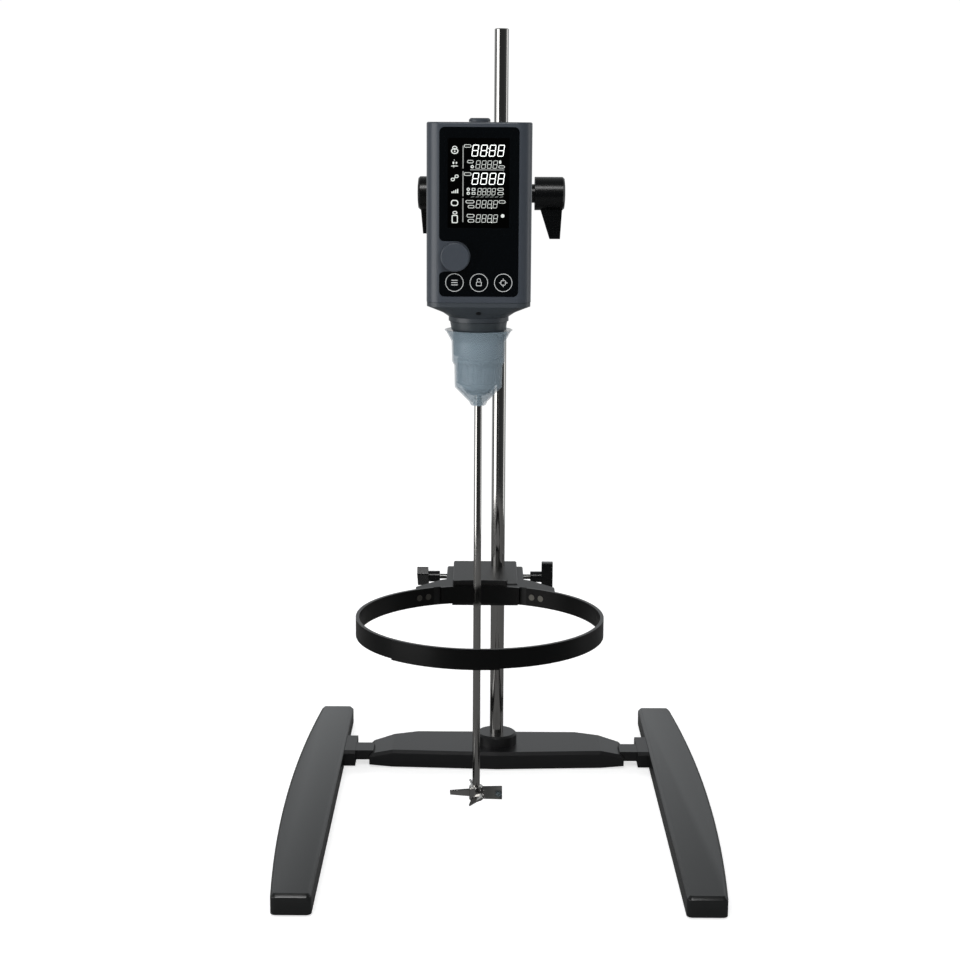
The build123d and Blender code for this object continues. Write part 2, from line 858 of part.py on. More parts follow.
def rear_shell():
    """Rear half of the housing, with the arm socket, the switch and the inlet."""
    shell = housing() & block(head_span_x, (head_split_y + seam_gap, head_back + cut), head_span_z)
    inner_wall = head_back - head_wall
    socket = bar_y(arm_radius + arm_socket_wall, head_back - arm_socket_depth, inner_wall + overlap,
                   head_x, clamp_z)
    shell += socket
    shell -= bar_y(arm_radius, head_back - arm_socket_depth - cut, head_back + cut, head_x, clamp_z)
    half_width = switch_width / 2
    half_height = switch_height / 2
    shell -= block((switch_x - half_width, switch_x + half_width), (inner_wall - cut, head_back + cut),
                   (rear_control_z - half_height, rear_control_z + half_height))
    shell -= bar_y(inlet_radius, inner_wall - cut, head_back + cut, inlet_x, rear_control_z)
    for x, z in case_screw_places():
        pillar_front = head_back - case_screw_length - case_pillar_reach
        shell += bar_y(case_screw_head_radius + case_pillar_wall, pillar_front, inner_wall + overlap, x, z)
        shell -= bar_y(case_screw_radius, pillar_front - cut, head_back + cut, x, z)
        shell -= bar_y(case_screw_head_radius + fit_gap, head_back - case_screw_head_sink,
                       head_back + cut, x, z)
    return shell


def case_screw_places():
    """Corners of the rear shell where the case screws sit."""
    half = head_width / 2 - head_back_corner
    low = head_seam + case_screw_inset
    high = head_top - case_screw_inset
    return [(head_x + side * half, z) for side in (-1, 1) for z in (low, high)]


def housing_screws():
    """Case screws in the rear shell."""
    screws = []
    for x, z in case_screw_places():
        seat = head_back - case_screw_head_sink
        stem = bar_y(case_screw_radius, head_back - case_screw_length, seat, x, z)
        head = Pos(x, seat, z) * Rot(-90, 0, 0) * socket_head(case_screw_head_radius,
                                                              case_screw_head_height)
        screws.append(stem + head)
    return Compound(screws)


def bottom_cover():
    """Gearbox cover: a short band, then a soft taper from the case down to a round neck."""
    band_low = head_seam - cover_band
    band = Pos(0, 0, band_low) * extrude(head_outline(cover_inset), cover_band - seam_gap)
    top_section = Pos(0, 0, band_low) * head_outline(cover_inset)
    neck_section = Pos(head_x, spindle_y, cover_low) * Circle(cover_neck_radius)
    taper = loft([neck_section, top_section])
    lip = Pos(0, 0, head_seam - seam_gap - overlap) * extrude(head_outline(head_wall + cover_inset),
                                                              cover_lip)
    lip -= Pos(0, 0, head_seam - cut) * extrude(head_outline(head_wall + cover_lip_wall),
                                                cover_lip + 2 * cut)
    cover = band + taper
    cover += post(cover_neck_radius, neck_seam_z, cover_low + overlap, head_x, spindle_y)
    cover += lip
    tray_floor = head_seam - seam_gap - cover_band + cover_floor
    cover -= Pos(0, 0, tray_floor) * extrude(head_outline(head_wall + cover_lip_wall), cover_band + cut)
    seat_top = lower_bearing_low + bearing_width + bearing_rise
    cover += post(bearing_outer + bearing_boss_wall, lower_bearing_low, seat_top, head_x, spindle_y)
    cover -= post(bearing_outer, lower_bearing_low, seat_top + cut, head_x, spindle_y)
    cover -= post(spindle_radius + neck_bore_gap, neck_seam_z - cut, head_seam, head_x, spindle_y)
    for x, y in plate_post_places():
        cover += post(plate_post_radius, tray_floor - overlap, motor_plate_low, x, y)
    hole_z = (cover_low + band_low) / 2
    hole = bar_y(cover_hole_radius, -cut, cover_hole_depth, 0, 0)
    cover -= Pos(head_x, head_front, hole_z) * Rot(-cover_hole_tilt, 0, 0) * hole
    return cover


def plate_post_places():
    """Posts that carry the motor plate, clear of the drive gear."""
    half_x = head_width / 2 - plate_post_inset
    front = spindle_y - plate_post_front
    back = head_back - case_screw_length - plate_post_back
    return [(head_x + side * half_x, y) for side in (-1, 1) for y in (front, back)]


def neck_collar():
    """Ring below the cover: groove, short cone, and the spigot that carries the guard."""
    spigot_radius = guard_inner_radius(spigot_low) - guard_fit
    spigot_shoulder = guard_upper_top - spigot_head
    spigot_top_radius = guard_inner_radius(spigot_shoulder) - guard_fit
    bore = spigot_radius - spigot_wall
    hub_bore = spindle_radius + neck_bore_gap
    profile = [
        (bore, spigot_low),
        (spigot_radius, spigot_low),
        (spigot_top_radius, spigot_shoulder),
        (spigot_top_radius, neck_low_z - spigot_head),
        (neck_low_radius - neck_edge, neck_low_z - neck_edge),
        (neck_low_radius, neck_low_z),
        (cover_neck_radius - neck_step, neck_seam_z - neck_groove),
        (cover_neck_radius - neck_step - cut, neck_seam_z - neck_groove),
        (cover_neck_radius - neck_step - cut, neck_seam_z),
        (hub_bore, neck_seam_z),
        (hub_bore, neck_low_z + spigot_wall),
        (bore, neck_low_z - cut),
    ]
    return turned(profile, head_x, spindle_y)


def bezel_panel():
    """Glass touch panel."""
    return front_slab(bezel_outline(0), bezel_front, bezel_back)


def display_module():
    """Display behind the window."""
    half = window_width / 2 - fit_gap
    window_x = head_x + window_offset
    glass = block((window_x - half, window_x + half), (bezel_back + fit_gap, board_front),
                  (window_low + fit_gap, window_top - fit_gap))
    back_half = half + display_margin
    frame = block((window_x - back_half, window_x + back_half),
                  (bezel_back + head_wall + 2 * fit_gap, board_front),
                  (window_low - display_margin, window_top + display_margin))
    return glass + frame


def control_board():
    """Printed board behind the display, on short posts from the front shell."""
    half = bezel_width / 2 + board_margin
    board_back = board_front + board_thickness
    board_span_z = (bezel_low + board_low_gap, bezel_top - board_high_gap)
    board = block((head_x - half, head_x + half), (board_front, board_back), board_span_z)
    chip_low = bezel_low + chip_lift
    for x in (head_x - chip_pitch, head_x, head_x + chip_pitch):
        chip_span_x = (x - chip_size / 2, x + chip_size / 2)
        board += block(chip_span_x, (board_back, board_back + chip_height),
                       (chip_low, chip_low + chip_size))
    return board


def encoder_body():
    """Encoder on the board, with its threaded bush round the shaft."""
    half = encoder_size / 2
    case = block((knob_x - half, knob_x + half), (board_front - encoder_depth, board_front),
                 (knob_z - half, knob_z + half))
    bush = bar_y(encoder_bush_radius, head_front + encoder_bush_inset, board_front - encoder_depth,
                 knob_x, knob_z)
    case += bush
    case -= bar_y(encoder_shaft_radius + slide_gap, head_front, board_front + cut, knob_x, knob_z)
    return case


def encoder_shaft():
    """Shaft that the knob pushes and turns on."""
    end = board_front - push_travel - encoder_end_gap
    front = head_front - knob_lift - encoder_shaft_grip
    return bar_y(encoder_shaft_radius, front, end, knob_x, knob_z)


def rotary_knob():
    """Moulded knob: hollow behind, with a bored hub on the encoder shaft."""
    back = head_front - knob_lift
    front = back - knob_height
    knob = bar_y(knob_radius, front, back, knob_x, knob_z)
    knob = fillet(knob.faces().sort_by(Axis.Y)[0].edges(), knob_edge)
    hollow = bar_y(knob_radius - knob_wall, back - knob_skirt_depth, back + cut, knob_x, knob_z)
    hollow -= bar_y(encoder_shaft_radius + knob_bore_wall, back - knob_skirt_depth - cut,
                    back + cut, knob_x, knob_z)
    knob -= hollow
    knob -= bar_y(encoder_shaft_radius + slide_gap, back - encoder_shaft_grip - slide_gap,
                  back + cut, knob_x, knob_z)
    return knob


def bore_plug():
    """Soft plug that closes the top of the through bore."""
    stem_low = head_top - plug_stem_length
    cap_low = head_top + plug_gap
    profile = [
        (0, stem_low),
        (plug_stem_radius - plug_lead, stem_low),
        (plug_stem_radius, stem_low + plug_lead),
        (plug_stem_radius, cap_low),
        (plug_head_radius, cap_low),
        (plug_head_radius, cap_low + plug_head_height - plug_edge),
        (plug_head_radius - plug_edge, cap_low + plug_head_height),
        (0, cap_low + plug_head_height),
    ]
    return turned(profile, head_x, spindle_y)


def support_arm():
    """Round arm that carries the head in the boss head clamp."""
    arm = bar_y(arm_radius, head_back - arm_socket_depth, arm_back, head_x, clamp_z)
    return chamfer(arm.faces().sort_by(Axis.Y)[-1].edges(), arm_edge)


def arm_flange():
    """Flange that holds the arm to the rear shell, with its screw heads let in."""
    flange = bar_y(flange_radius, head_back, head_back + flange_thickness, head_x, clamp_z)
    flange = chamfer(flange.faces().sort_by(Axis.Y)[-1].edges(), arm_edge)
    flange -= bar_y(arm_radius, head_back - cut, head_back + flange_thickness + cut, head_x, clamp_z)
    for x, z in flange_screw_places():
        flange -= bar_y(case_screw_head_radius, head_back + flange_thickness - flange_screw_sink,
                        head_back + flange_thickness + cut, x, z)
    return flange


def flange_screw_places():
    places = []
    for turn in (45, 135, 225, 315):
        x = head_x + flange_screw_circle * math.cos(math.radians(turn))
        z = clamp_z + flange_screw_circle * math.sin(math.radians(turn))
        places.append((x, z))
    return places


def flange_screws():
    """Socket screws in the arm flange."""
    seat = head_back + flange_thickness - flange_screw_sink
    screws = []
    for x, z in flange_screw_places():
        screws.append(Pos(x, seat, z) * Rot(-90, 0, 0) * socket_head(flange_screw_radius,
                                                                     flange_screw_height))
    return Compound(screws)


# Rear controls

def switch_frame():
    """Frame of the power switch, snapped into the rear shell."""
    half_width = switch_width / 2 - fit_gap
    half_height = switch_height / 2 - fit_gap
    depth_span = (head_back - switch_depth, head_back)
    frame = block((switch_x - half_width, switch_x + half_width), depth_span,
                  (rear_control_z - half_height, rear_control_z + half_height))
    lip_x = half_width + switch_lip_width
    lip_z = half_height + switch_lip_width
    frame += block((switch_x - lip_x, switch_x + lip_x), (head_back, head_back + switch_lip),
                   (rear_control_z - lip_z, rear_control_z + lip_z))
    inner_x = half_width - switch_wall
    inner_z = half_height - switch_wall
    inner_span_y = (head_back - switch_depth + switch_floor, head_back + switch_lip + cut)
    frame -= block((switch_x - inner_x, switch_x + inner_x), inner_span_y,
                   (rear_control_z - inner_z, rear_control_z + inner_z))
    hole_half = inner_x + rocker_pin_depth + tip_gap
    hole_y = head_back + rocker_pivot_y
    frame -= bar_x(rocker_pin_radius + slide_gap, switch_x - hole_half, switch_x + hole_half,
                   hole_y, rear_control_z)
    return frame


def switch_rocker():
    """Rocker on a pivot along X, with two faces that meet in a shallow V."""
    half_width = switch_width / 2 - fit_gap - switch_wall - rocker_gap
    half_height = switch_height / 2 - fit_gap - switch_wall - rocker_end_gap
    face = head_back + rocker_rise
    rise = half_height * math.tan(math.radians(rocker_tilt))
    outline = Polyline(
        (face + rise, half_height),
        (face, 0),
        (face + rise, -half_height),
        (face - rocker_side, -half_height + rocker_taper),
        (face - rocker_depth, 0),
        (face - rocker_side, half_height - rocker_taper),
        close=True,
    )
    rocker = extrude(Plane.YZ * make_face(outline), half_width, both=True)
    pivot = Pos(switch_x, head_back + rocker_pivot_y, rear_control_z)
    pin_half = half_width + rocker_gap + rocker_pin_depth
    pins = bar_x(rocker_pin_radius, -pin_half, pin_half, 0, 0)
    tilted = Rot(rocker_tilt, 0, 0) * Pos(0, -head_back - rocker_pivot_y, 0) * rocker
    return pivot * (tilted + pins)


def power_inlet():
    """Round low voltage inlet with its centre pin and nut."""
    barrel = bar_y(inlet_radius, head_back - inlet_depth, head_back, inlet_x, rear_control_z)
    nut = bar_y(inlet_nut_radius, head_back, head_back + inlet_nut_height, inlet_x, rear_control_z)
    nut = chamfer(nut.faces().sort_by(Axis.Y)[-1].edges(), inlet_edge)
    inlet = barrel + nut
    bore_floor = head_back - inlet_depth + inlet_floor
    inlet -= bar_y(inlet_bore, bore_floor, head_back + inlet_nut_height + cut, inlet_x, rear_control_z)
    inlet += bar_y(inlet_pin_radius, bore_floor - overlap, head_back, inlet_x, rear_control_z)
    return inlet


# Drive

def bearing(low):
    """Ball bearing as one ring, with a groove on each side between its races."""
    high = low + bearing_width
    bore = spindle_radius + bearing_gap
    inner_land = bore + bearing_race
    outer_land = bearing_outer - bearing_race
    profile = [
        (bore, low),
        (inner_land, low),
        (inner_land, low + bearing_groove),
        (outer_land, low + bearing_groove),
        (outer_land, low),
        (bearing_outer, low),
        (bearing_outer, high),
        (outer_land, high),
        (outer_land, high - bearing_groove),
        (inner_land, high - bearing_groove),
        (inner_land, high),
        (bore, high),
    ]
    return turned(profile, head_x, spindle_y)


def gear_outline(teeth, backlash, first_angle):
    """Involute gear outline with straight tip and root lands."""
    pitch_radius = gear_module * teeth / 2
    base_radius = pitch_radius * math.cos(math.radians(pressure_angle))
    tip_radius = pitch_radius + gear_module
    root_radius = pitch_radius - gear_root_ratio * gear_module

    def involute(radius):
        angle = math.acos(min(1.0, base_radius / radius))
        return math.tan(angle) - angle
    half_tooth = (math.pi * gear_module - backlash) / (4 * pitch_radius)
    at_pitch = half_tooth + involute(pitch_radius)
    start = max(base_radius, root_radius)
    flank = [start + (tip_radius - start) * step / flank_steps for step in range(flank_steps + 1)]
    points = []
    for tooth in range(teeth):
        middle = math.radians(first_angle) + 2 * math.pi * tooth / teeth
        rising = [(radius, -(at_pitch - involute(radius))) for radius in flank]
        falling = [(radius, -offset) for radius, offset in reversed(rising)]
        foot = [(root_radius, rising[0][1])] if start > root_radius else []
        heel = [(root_radius, falling[-1][1])] if foot else []
        for radius, offset in foot + rising + falling + heel:
            turn = middle + offset
            points.append((radius * math.cos(turn), radius * math.sin(turn)))
    return make_face(Polyline(*points, close=True))


def drive_gear():
    """Large gear pressed on the spindle, lightened by round windows."""
    gear = extrude(gear_outline(gear_teeth, gear_backlash, 90), gear_width)
    gear += post(gear_hub_radius, 0, gear_width + gear_hub_length)
    for number in range(gear_windows):
        turn = 2 * math.pi * number / gear_windows
        x = gear_window_circle * math.cos(turn)
        y = gear_window_circle * math.sin(turn)
        gear -= post(gear_window_radius, -cut, gear_width + cut, x, y)
    gear -= post(spindle_radius, -cut, gear_width + gear_hub_length + cut)
    return Pos(head_x, spindle_y, gear_low) * gear


def pinion():
    """Small gear on the motor shaft. A gap faces the large gear."""
    gear = extrude(gear_outline(pinion_teeth, gear_backlash, 270 + 180 / pinion_teeth), gear_width)
    gear -= post(motor_shaft_radius, -cut, gear_width + cut)
    return Pos(head_x, motor_y, gear_low) * gear


def spindle():
    """Hollow spindle through the whole head, so that a long shaft can pass."""
    profile = [
        (spindle_bore, spindle_low),
        (spindle_radius - spindle_edge, spindle_low),
        (spindle_radius, spindle_low + spindle_edge),
        (spindle_radius, spindle_top - spindle_edge),
        (spindle_radius - spindle_edge, spindle_top),
        (spindle_bore, spindle_top),
    ]
    return turned(profile, head_x, spindle_y)


def motor_plate():
    """Plate that carries the motor above the gears."""
    low = motor_plate_low - cut
    high = motor_plate_low + motor_plate_thickness + cut
    plate = Pos(0, 0, motor_plate_low) * extrude(head_outline(head_wall + motor_plate_gap),
                                                 motor_plate_thickness)
    front_limit = board_front + board_thickness + motor_plate_front_gap
    back_limit = head_back - head_wall - switch_depth - motor_plate_back_gap
    plate &= block(head_span_x, (front_limit, back_limit), (low, high))
    plate -= post(gear_hub_radius + motor_plate_hole_gap, low, high, head_x, spindle_y)
    plate -= post(motor_shaft_radius + motor_plate_hole_gap, low, high, head_x, motor_y)
    return plate


def motor_can():
    """Closed motor with cooling grooves along its wall."""
    low = motor_plate_low + motor_plate_thickness
    can = post(motor_radius, low, low + motor_height)
    can = fillet(can.faces().sort_by(Axis.Z)[-1].edges(), motor_edge)
    can -= post(motor_shaft_radius + slide_gap, low - cut, low + motor_shaft_grip + cut)
    for number in range(motor_fins):
        turn = 360 * number / motor_fins
        groove = block((motor_radius - motor_fin_depth, motor_radius + cut),
                       (-motor_groove_half, motor_groove_half),
                       (low + motor_groove_inset, low + motor_height - motor_groove_inset))
        can -= Rot(0, 0, turn) * groove
    return Pos(head_x, motor_y, 0) * can


def motor_shaft():
    """Shaft of the motor, which carries the pinion."""
    top = motor_plate_low + motor_plate_thickness + motor_shaft_grip
    return post(motor_shaft_radius, gear_low - motor_shaft_reveal, top, head_x, motor_y)


# Chuck and stirring tool

def chuck_axis_radius(z):
    """Distance of a jaw's own axis from the spindle axis, at a height."""
    return jaw_foot_radius + (z - jaw_low) * math.tan(math.radians(jaw_tilt))


def jaw_bar(radius, low, high, turn):
    """A cylinder along a jaw's slanting axis."""
    run = (high - low) / math.cos(math.radians(jaw_tilt))
    bar = Pos(0, 0, run / 2) * Cylinder(radius, run)
    leaned = Pos(chuck_axis_radius(low), 0, low) * Rot(0, jaw_tilt, 0) * bar
    return Rot(0, 0, turn) * leaned


def jaw_turn(number):
    """Angle of a jaw round the spindle, in degrees."""
    return first_jaw_turn + math.degrees(2 * math.pi * number / jaw_count)


def chuck_body():
    """Chuck body: screwed on the spindle, coned nose, three slanting bores."""
    profile = [
        (spindle_bore, chuck_nose_low),
        (chuck_nose_radius, chuck_nose_low),
        (chuck_radius, chuck_nose_top),
        (chuck_radius, chuck_top - chuck_edge),
        (chuck_radius - chuck_edge, chuck_top),
        (spindle_radius, chuck_top),
        (spindle_radius, spindle_low),
        (spindle_bore, spindle_low),
    ]
    body = turned(profile, 0, 0)
    for number in range(jaw_count):
        bore_top = jaw_top + jaw_travel + jaw_end_gap
        body -= jaw_bar(jaw_radius + jaw_gap, jaw_low - joint_depth, bore_top, jaw_turn(number))
    return Pos(head_x, spindle_y, 0) * body


def chuck_jaw(number):
    """One gripping jaw: a slanting pin with a flat against the shaft."""
    jaw = jaw_bar(jaw_radius, jaw_low - joint_depth, jaw_top, jaw_turn(number))
    jaw &= post(chuck_radius, jaw_low, jaw_top + joint_depth)
    jaw -= post(shaft_radius + jaw_grip_gap, jaw_low - cut, jaw_top + joint_depth)
    return Pos(head_x, spindle_y, 0) * jaw


def chuck_sleeve():
    """Turning sleeve with grip flutes round it."""
    bore = chuck_radius + sleeve_gap
    profile = [
        (bore, sleeve_low),
        (sleeve_radius - sleeve_edge, sleeve_low),
        (sleeve_radius, sleeve_low + sleeve_edge),
        (sleeve_radius, sleeve_top - chuck_edge),
        (sleeve_radius - chuck_edge, sleeve_top),
        (bore, sleeve_top),
    ]
    sleeve = turned(profile, 0, 0)
    for number in range(sleeve_flutes):
        turn = 2 * math.pi * number / sleeve_flutes
        x = sleeve_flute_circle * math.cos(turn)
        y = sleeve_flute_circle * math.sin(turn)
        sleeve -= post(sleeve_flute_radius, sleeve_low + sleeve_flute_inset,
                       sleeve_top - sleeve_flute_inset, x, y)
    return Pos(head_x, spindle_y, 0) * sleeve


def guard_inner_radius(z):
    """Inside radius of the guard's upper cylinder at a height."""
    share = (guard_upper_top - z) / (guard_upper_top - guard_upper_low)
    return guard_upper_radius - guard_upper_taper * share - guard_wall


def splash_guard():
    """Thin translucent cup: flared rim, two stepped cylinders, cone and nose."""
    outer = [
        (guard_nose_tip, guard_nose_low),
        (guard_nose_radius, guard_nose_top),
        (guard_lower_radius - guard_lower_taper, guard_lower_low),
        (guard_lower_radius, guard_lower_top),
        (guard_upper_radius - guard_upper_taper, guard_upper_low),
        (guard_upper_radius, guard_upper_top),
        (guard_rim_radius - guard_rim_lip, guard_rim_z - guard_rim_lip),
        (guard_rim_radius, guard_rim_z),
    ]
    inner = [(radius - guard_wall, z) for radius, z in reversed(outer[2:-1])]
    inner = [(guard_rim_radius - guard_wall, guard_rim_z)] + inner
    inner += [(guard_nose_radius - guard_wall, guard_nose_top + guard_nose_fillet)]
    inner += [(guard_hole, guard_nose_top - guard_wall), (guard_hole, guard_nose_low)]
    return turned(outer + inner, head_x, spindle_y)


def stirring_shaft():
    """Polished shaft, gripped by the jaws."""
    shaft = post(shaft_radius, shaft_low, shaft_top, head_x, spindle_y)
    return chamfer(shaft.faces().filter_by(Plane.XY).edges(), shaft_edge)


def propeller_blade():
    """One blade: a plate that twists from a steep root to a flatter tip."""
    def section(reach, width, pitch):
        turn = math.radians(pitch)
        across = (0, math.cos(turn), math.sin(turn))
        plane = Plane(origin=(reach, 0, 0), x_dir=across, z_dir=(1, 0, 0))
        return plane * Rectangle(width, blade_thickness)
    root = section(propeller_hub_radius - blade_root_sink, blade_root_width, blade_root_pitch)
    tip = section(propeller_radius, blade_tip_width, blade_tip_pitch)
    return loft([root, tip])


def propeller():
    """Four-bladed propeller with its bored hub."""
    middle = propeller_low + propeller_hub_height / 2
    hub = post(propeller_hub_radius, propeller_low, propeller_low + propeller_hub_height)
    hub = fillet(hub.edges(), propeller_edge)
    for number in range(blade_count):
        hub += Pos(0, 0, middle) * Rot(0, 0, 360 * number / blade_count) * propeller_blade()
    hub -= post(shaft_radius, propeller_low - cut, propeller_low + propeller_hub_height + cut)
    turn = 180 / blade_count
    hole = bar_x(set_screw_radius, shaft_radius - cut, propeller_hub_radius + cut, 0, middle)
    hub -= Rot(0, 0, turn) * hole
    return Pos(head_x, spindle_y, 0) * hub


def propeller_screw():
    """Grub screw that fixes the propeller on the shaft."""
    middle = propeller_low + propeller_hub_height / 2
    screw = bar_x(set_screw_radius, shaft_radius, propeller_hub_radius - set_screw_sink, 0, middle)
    return Pos(head_x, spindle_y, 0) * Rot(0, 0, 180 / blade_count) * screw


# Vessel strap clamp

def strap_band():
    """Rubber strap round the vessel, from one end of the bracket to the other."""
    high = strap_low + strap_width
    band = ring_sector(strap_inner_radius, strap_outer_radius, strap_low, high,
                       strap_end_angle, 360 - strap_end_angle, strap_x, spindle_y)
    for screw in strap_screws():
        band -= screw
    return band


def strap_tail():
    """Free end of the strap, lying over the band at the front."""
    low = strap_low - tail_drop
    return ring_sector(strap_outer_radius, strap_outer_radius + tail_thickness, low, low + strap_width,
                       180 + tail_start_angle, 180 + tail_end_angle, strap_x, spindle_y)


def strap_screw_places():
    """Angles of the screws at the strap's ends."""
    return [side * (strap_end_angle + step) for side in (-1, 1) for step in strap_screw_steps]


def strap_screws():
    """Flat screws through the strap's ends into the bracket."""
    middle = strap_low + strap_width / 2
    screws = []
    for angle in strap_screw_places():
        stem = bar_y(strap_screw_radius, strap_inner_radius,
                     bracket_inner_radius + strap_screw_grip, 0, middle)
        head_span = (strap_inner_radius - strap_screw_reveal, strap_inner_radius + strap_screw_head)
        head = bar_y(strap_screw_head_radius, *head_span, 0, middle)
        screws.append(Pos(strap_x, spindle_y, 0) * Rot(0, 0, -angle) * (stem + head))
    return screws


def bracket_plan():
    """Plan of the bracket's plate: two wings that thin towards their tips."""
    half_outline = [
        (bracket_half, 0),
        (bracket_half, bracket_wing_tip_back),
        (bracket_block_half + bracket_shoulder, bracket_shoulder_back),
        (bracket_block_half, bracket_plate_back),
    ]
    right = [(bracket_x + x, y) for x, y in half_outline]
    left = [(bracket_x - x, y) for x, y in reversed(half_outline)]
    return make_face(Polyline(*right, *left, close=True))


def strap_bracket():
    """Moulded bracket: curved front for the vessel and a block that grips the rod."""
    plate = Pos(0, 0, bracket_plate_low) * extrude(bracket_plan(), bracket_plate_top - bracket_plate_low)
    block_back = rod_y + rod_radius + bracket_block_back
    inner_half = bracket_block_half - bracket_block_step
    body = block((bracket_x - inner_half, bracket_x + inner_half), (bracket_body_front, block_back),
                 (bracket_low, bracket_top))
    body = chamfer(body.faces().sort_by(Axis.Z)[-1].edges(), bracket_edge)
    step_y = (bracket_body_front + bracket_step_front, block_back - bracket_step_back)
    step = block((bracket_x - bracket_block_half, bracket_x + bracket_block_half), step_y,
                 (bracket_low, bracket_top - bracket_block_drop))
    step = chamfer(step.faces().sort_by(Axis.Z)[-1].edges(), bracket_edge)
    bracket = plate + body + step
    bracket += ring_sector(bracket_inner_radius, bracket_inner_radius + ridge_thickness, bracket_plate_low,
                           ridge_top, -ridge_half_angle, ridge_half_angle, strap_x, spindle_y)
    bore_span = (bracket_low - cut, ridge_top + cut)
    bracket -= post(bracket_inner_radius, *bore_span, strap_x, spindle_y)
    bracket -= post(rod_radius + slide_gap, *bore_span, 0, rod_y)
    screw_hole = wing_screw_radius + slide_gap
    bracket -= bar_x(screw_hole, bracket_x - bracket_half, bracket_x + bracket_half, rod_y, wing_z)
    for screw in strap_screws():
        bracket -= screw
    return bracket


def vessel_pad():
    """Rubber pad between the strap's ends, against the vessel's back."""
    return ring_sector(strap_inner_radius, bracket_inner_radius, strap_low, bracket_plate_top,
                       -pad_half_angle, pad_half_angle, strap_x, spindle_y)


def wing_knob(x, direction, turn):
    """Small moulded knob: round hub and a cross bar."""
    hub = bar_x(wing_hub_radius, 0, wing_hub_length, 0, 0)
    bar = block((wing_hub_length, wing_hub_length + wing_bar_height),
                (-wing_bar_width / 2, wing_bar_width / 2),
                (-wing_bar_length / 2, wing_bar_length / 2))
    bar = fillet(bar.edges().filter_by(Axis.X), wing_edge)
    knob = hub + bar
    knob -= bar_x(wing_screw_radius, -cut, wing_hub_length, 0, 0)
    if direction < 0:
        knob = mirror(knob, about=Plane.YZ)
    return Pos(x, rod_y, wing_z) * Rot(turn, 0, 0) * knob


def wing_screw(tip_x, knob_place, direction):
    """Steel stud of a small knob."""
    end = knob_place + direction * wing_hub_length
    return bar_x(wing_screw_radius, min(tip_x, end), max(tip_x, end), rod_y, wing_z)


def save(shape, name):
    """Write one sub-part to its own file."""
    shape.label = name
    export_step(shape, f"parts/{name}.step")


os.makedirs("parts", exist_ok=True)

right_foot = foot_right()
save(right_foot, "foot_right")
save(mirror(right_foot, about=Plane.YZ), "foot_left")
save(foot_pads(), "foot_pads")
save(cross_beam(), "cross_beam")
save(beam_screws(), "beam_screws")
save(stand_rod(), "stand_rod")
save(rod_bolt(), "rod_bolt")

save(clamp_body(), "clamp_body")
save(lever_knob(right_lever_x, 1, 0), "rod_clamp_knob")
save(clamp_screw(rod_radius + tip_gap, right_lever_x, 1), "rod_clamp_screw")
save(lever_knob(left_lever_x, -1, left_lever_turn), "arm_clamp_knob")
save(clamp_screw(-arm_offset - arm_radius - tip_gap, left_lever_x, -1), "arm_clamp_screw")

save(front_shell(), "front_shell")
save(rear_shell(), "rear_shell")
save(housing_screws(), "housing_screws")
save(bottom_cover(), "bottom_cover")
save(neck_collar(), "neck_collar")
save(bezel_panel(), "bezel_panel")
save(display_module(), "display_module")
save(control_board(), "control_board")
save(encoder_body(), "encoder_body")
save(encoder_shaft(), "encoder_shaft")
save(rotary_knob(), "rotary_knob")
save(bore_plug(), "bore_plug")
save(support_arm(), "support_arm")
save(arm_flange(), "arm_flange")
save(flange_screws(), "flange_screws")
save(switch_frame(), "switch_frame")
save(switch_rocker(), "switch_rocker")
save(power_inlet(), "power_inlet")

save(spindle(), "spindle")
save(bearing(upper_bearing_low), "upper_bearing")
save(bearing(lower_bearing_low), "lower_bearing")
save(drive_gear(), "drive_gear")
save(pinion(), "pinion")
save(motor_plate(), "motor_plate")
save(motor_can(), "motor_can")
save(motor_shaft(), "motor_shaft")

save(chuck_body(), "chuck_body")
save(chuck_sleeve(), "chuck_sleeve")
for jaw_number in range(3):
    save(chuck_jaw(jaw_number), f"chuck_jaw_{jaw_number + 1}")
save(splash_guard(), "splash_guard")
save(stirring_shaft(), "stirring_shaft")
save(propeller(), "propeller")
save(propeller_screw(), "propeller_screw")

save(strap_band(), "strap_band")
save(strap_tail(), "strap_tail")
save(Compound(strap_screws()), "strap_screws")
save(strap_bracket(), "strap_bracket")
save(vessel_pad(), "vessel_pad")
block_right = bracket_x + bracket_block_half
block_left = bracket_x - bracket_block_half
wing_right_x = block_right + wing_screw_reveal
wing_left_x = block_left - wing_screw_reveal
save(wing_knob(wing_right_x, 1, 0), "bracket_knob_right")
save(wing_screw(rod_radius + tip_gap, wing_right_x, 1), "bracket_screw_right")
save(wing_knob(wing_left_x, -1, left_wing_turn), "bracket_knob_left")
save(wing_screw(-rod_radius - tip_gap, wing_left_x, -1), "bracket_screw_left")
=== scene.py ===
import bmesh
import bpy
import math
from mathutils import Matrix, Vector


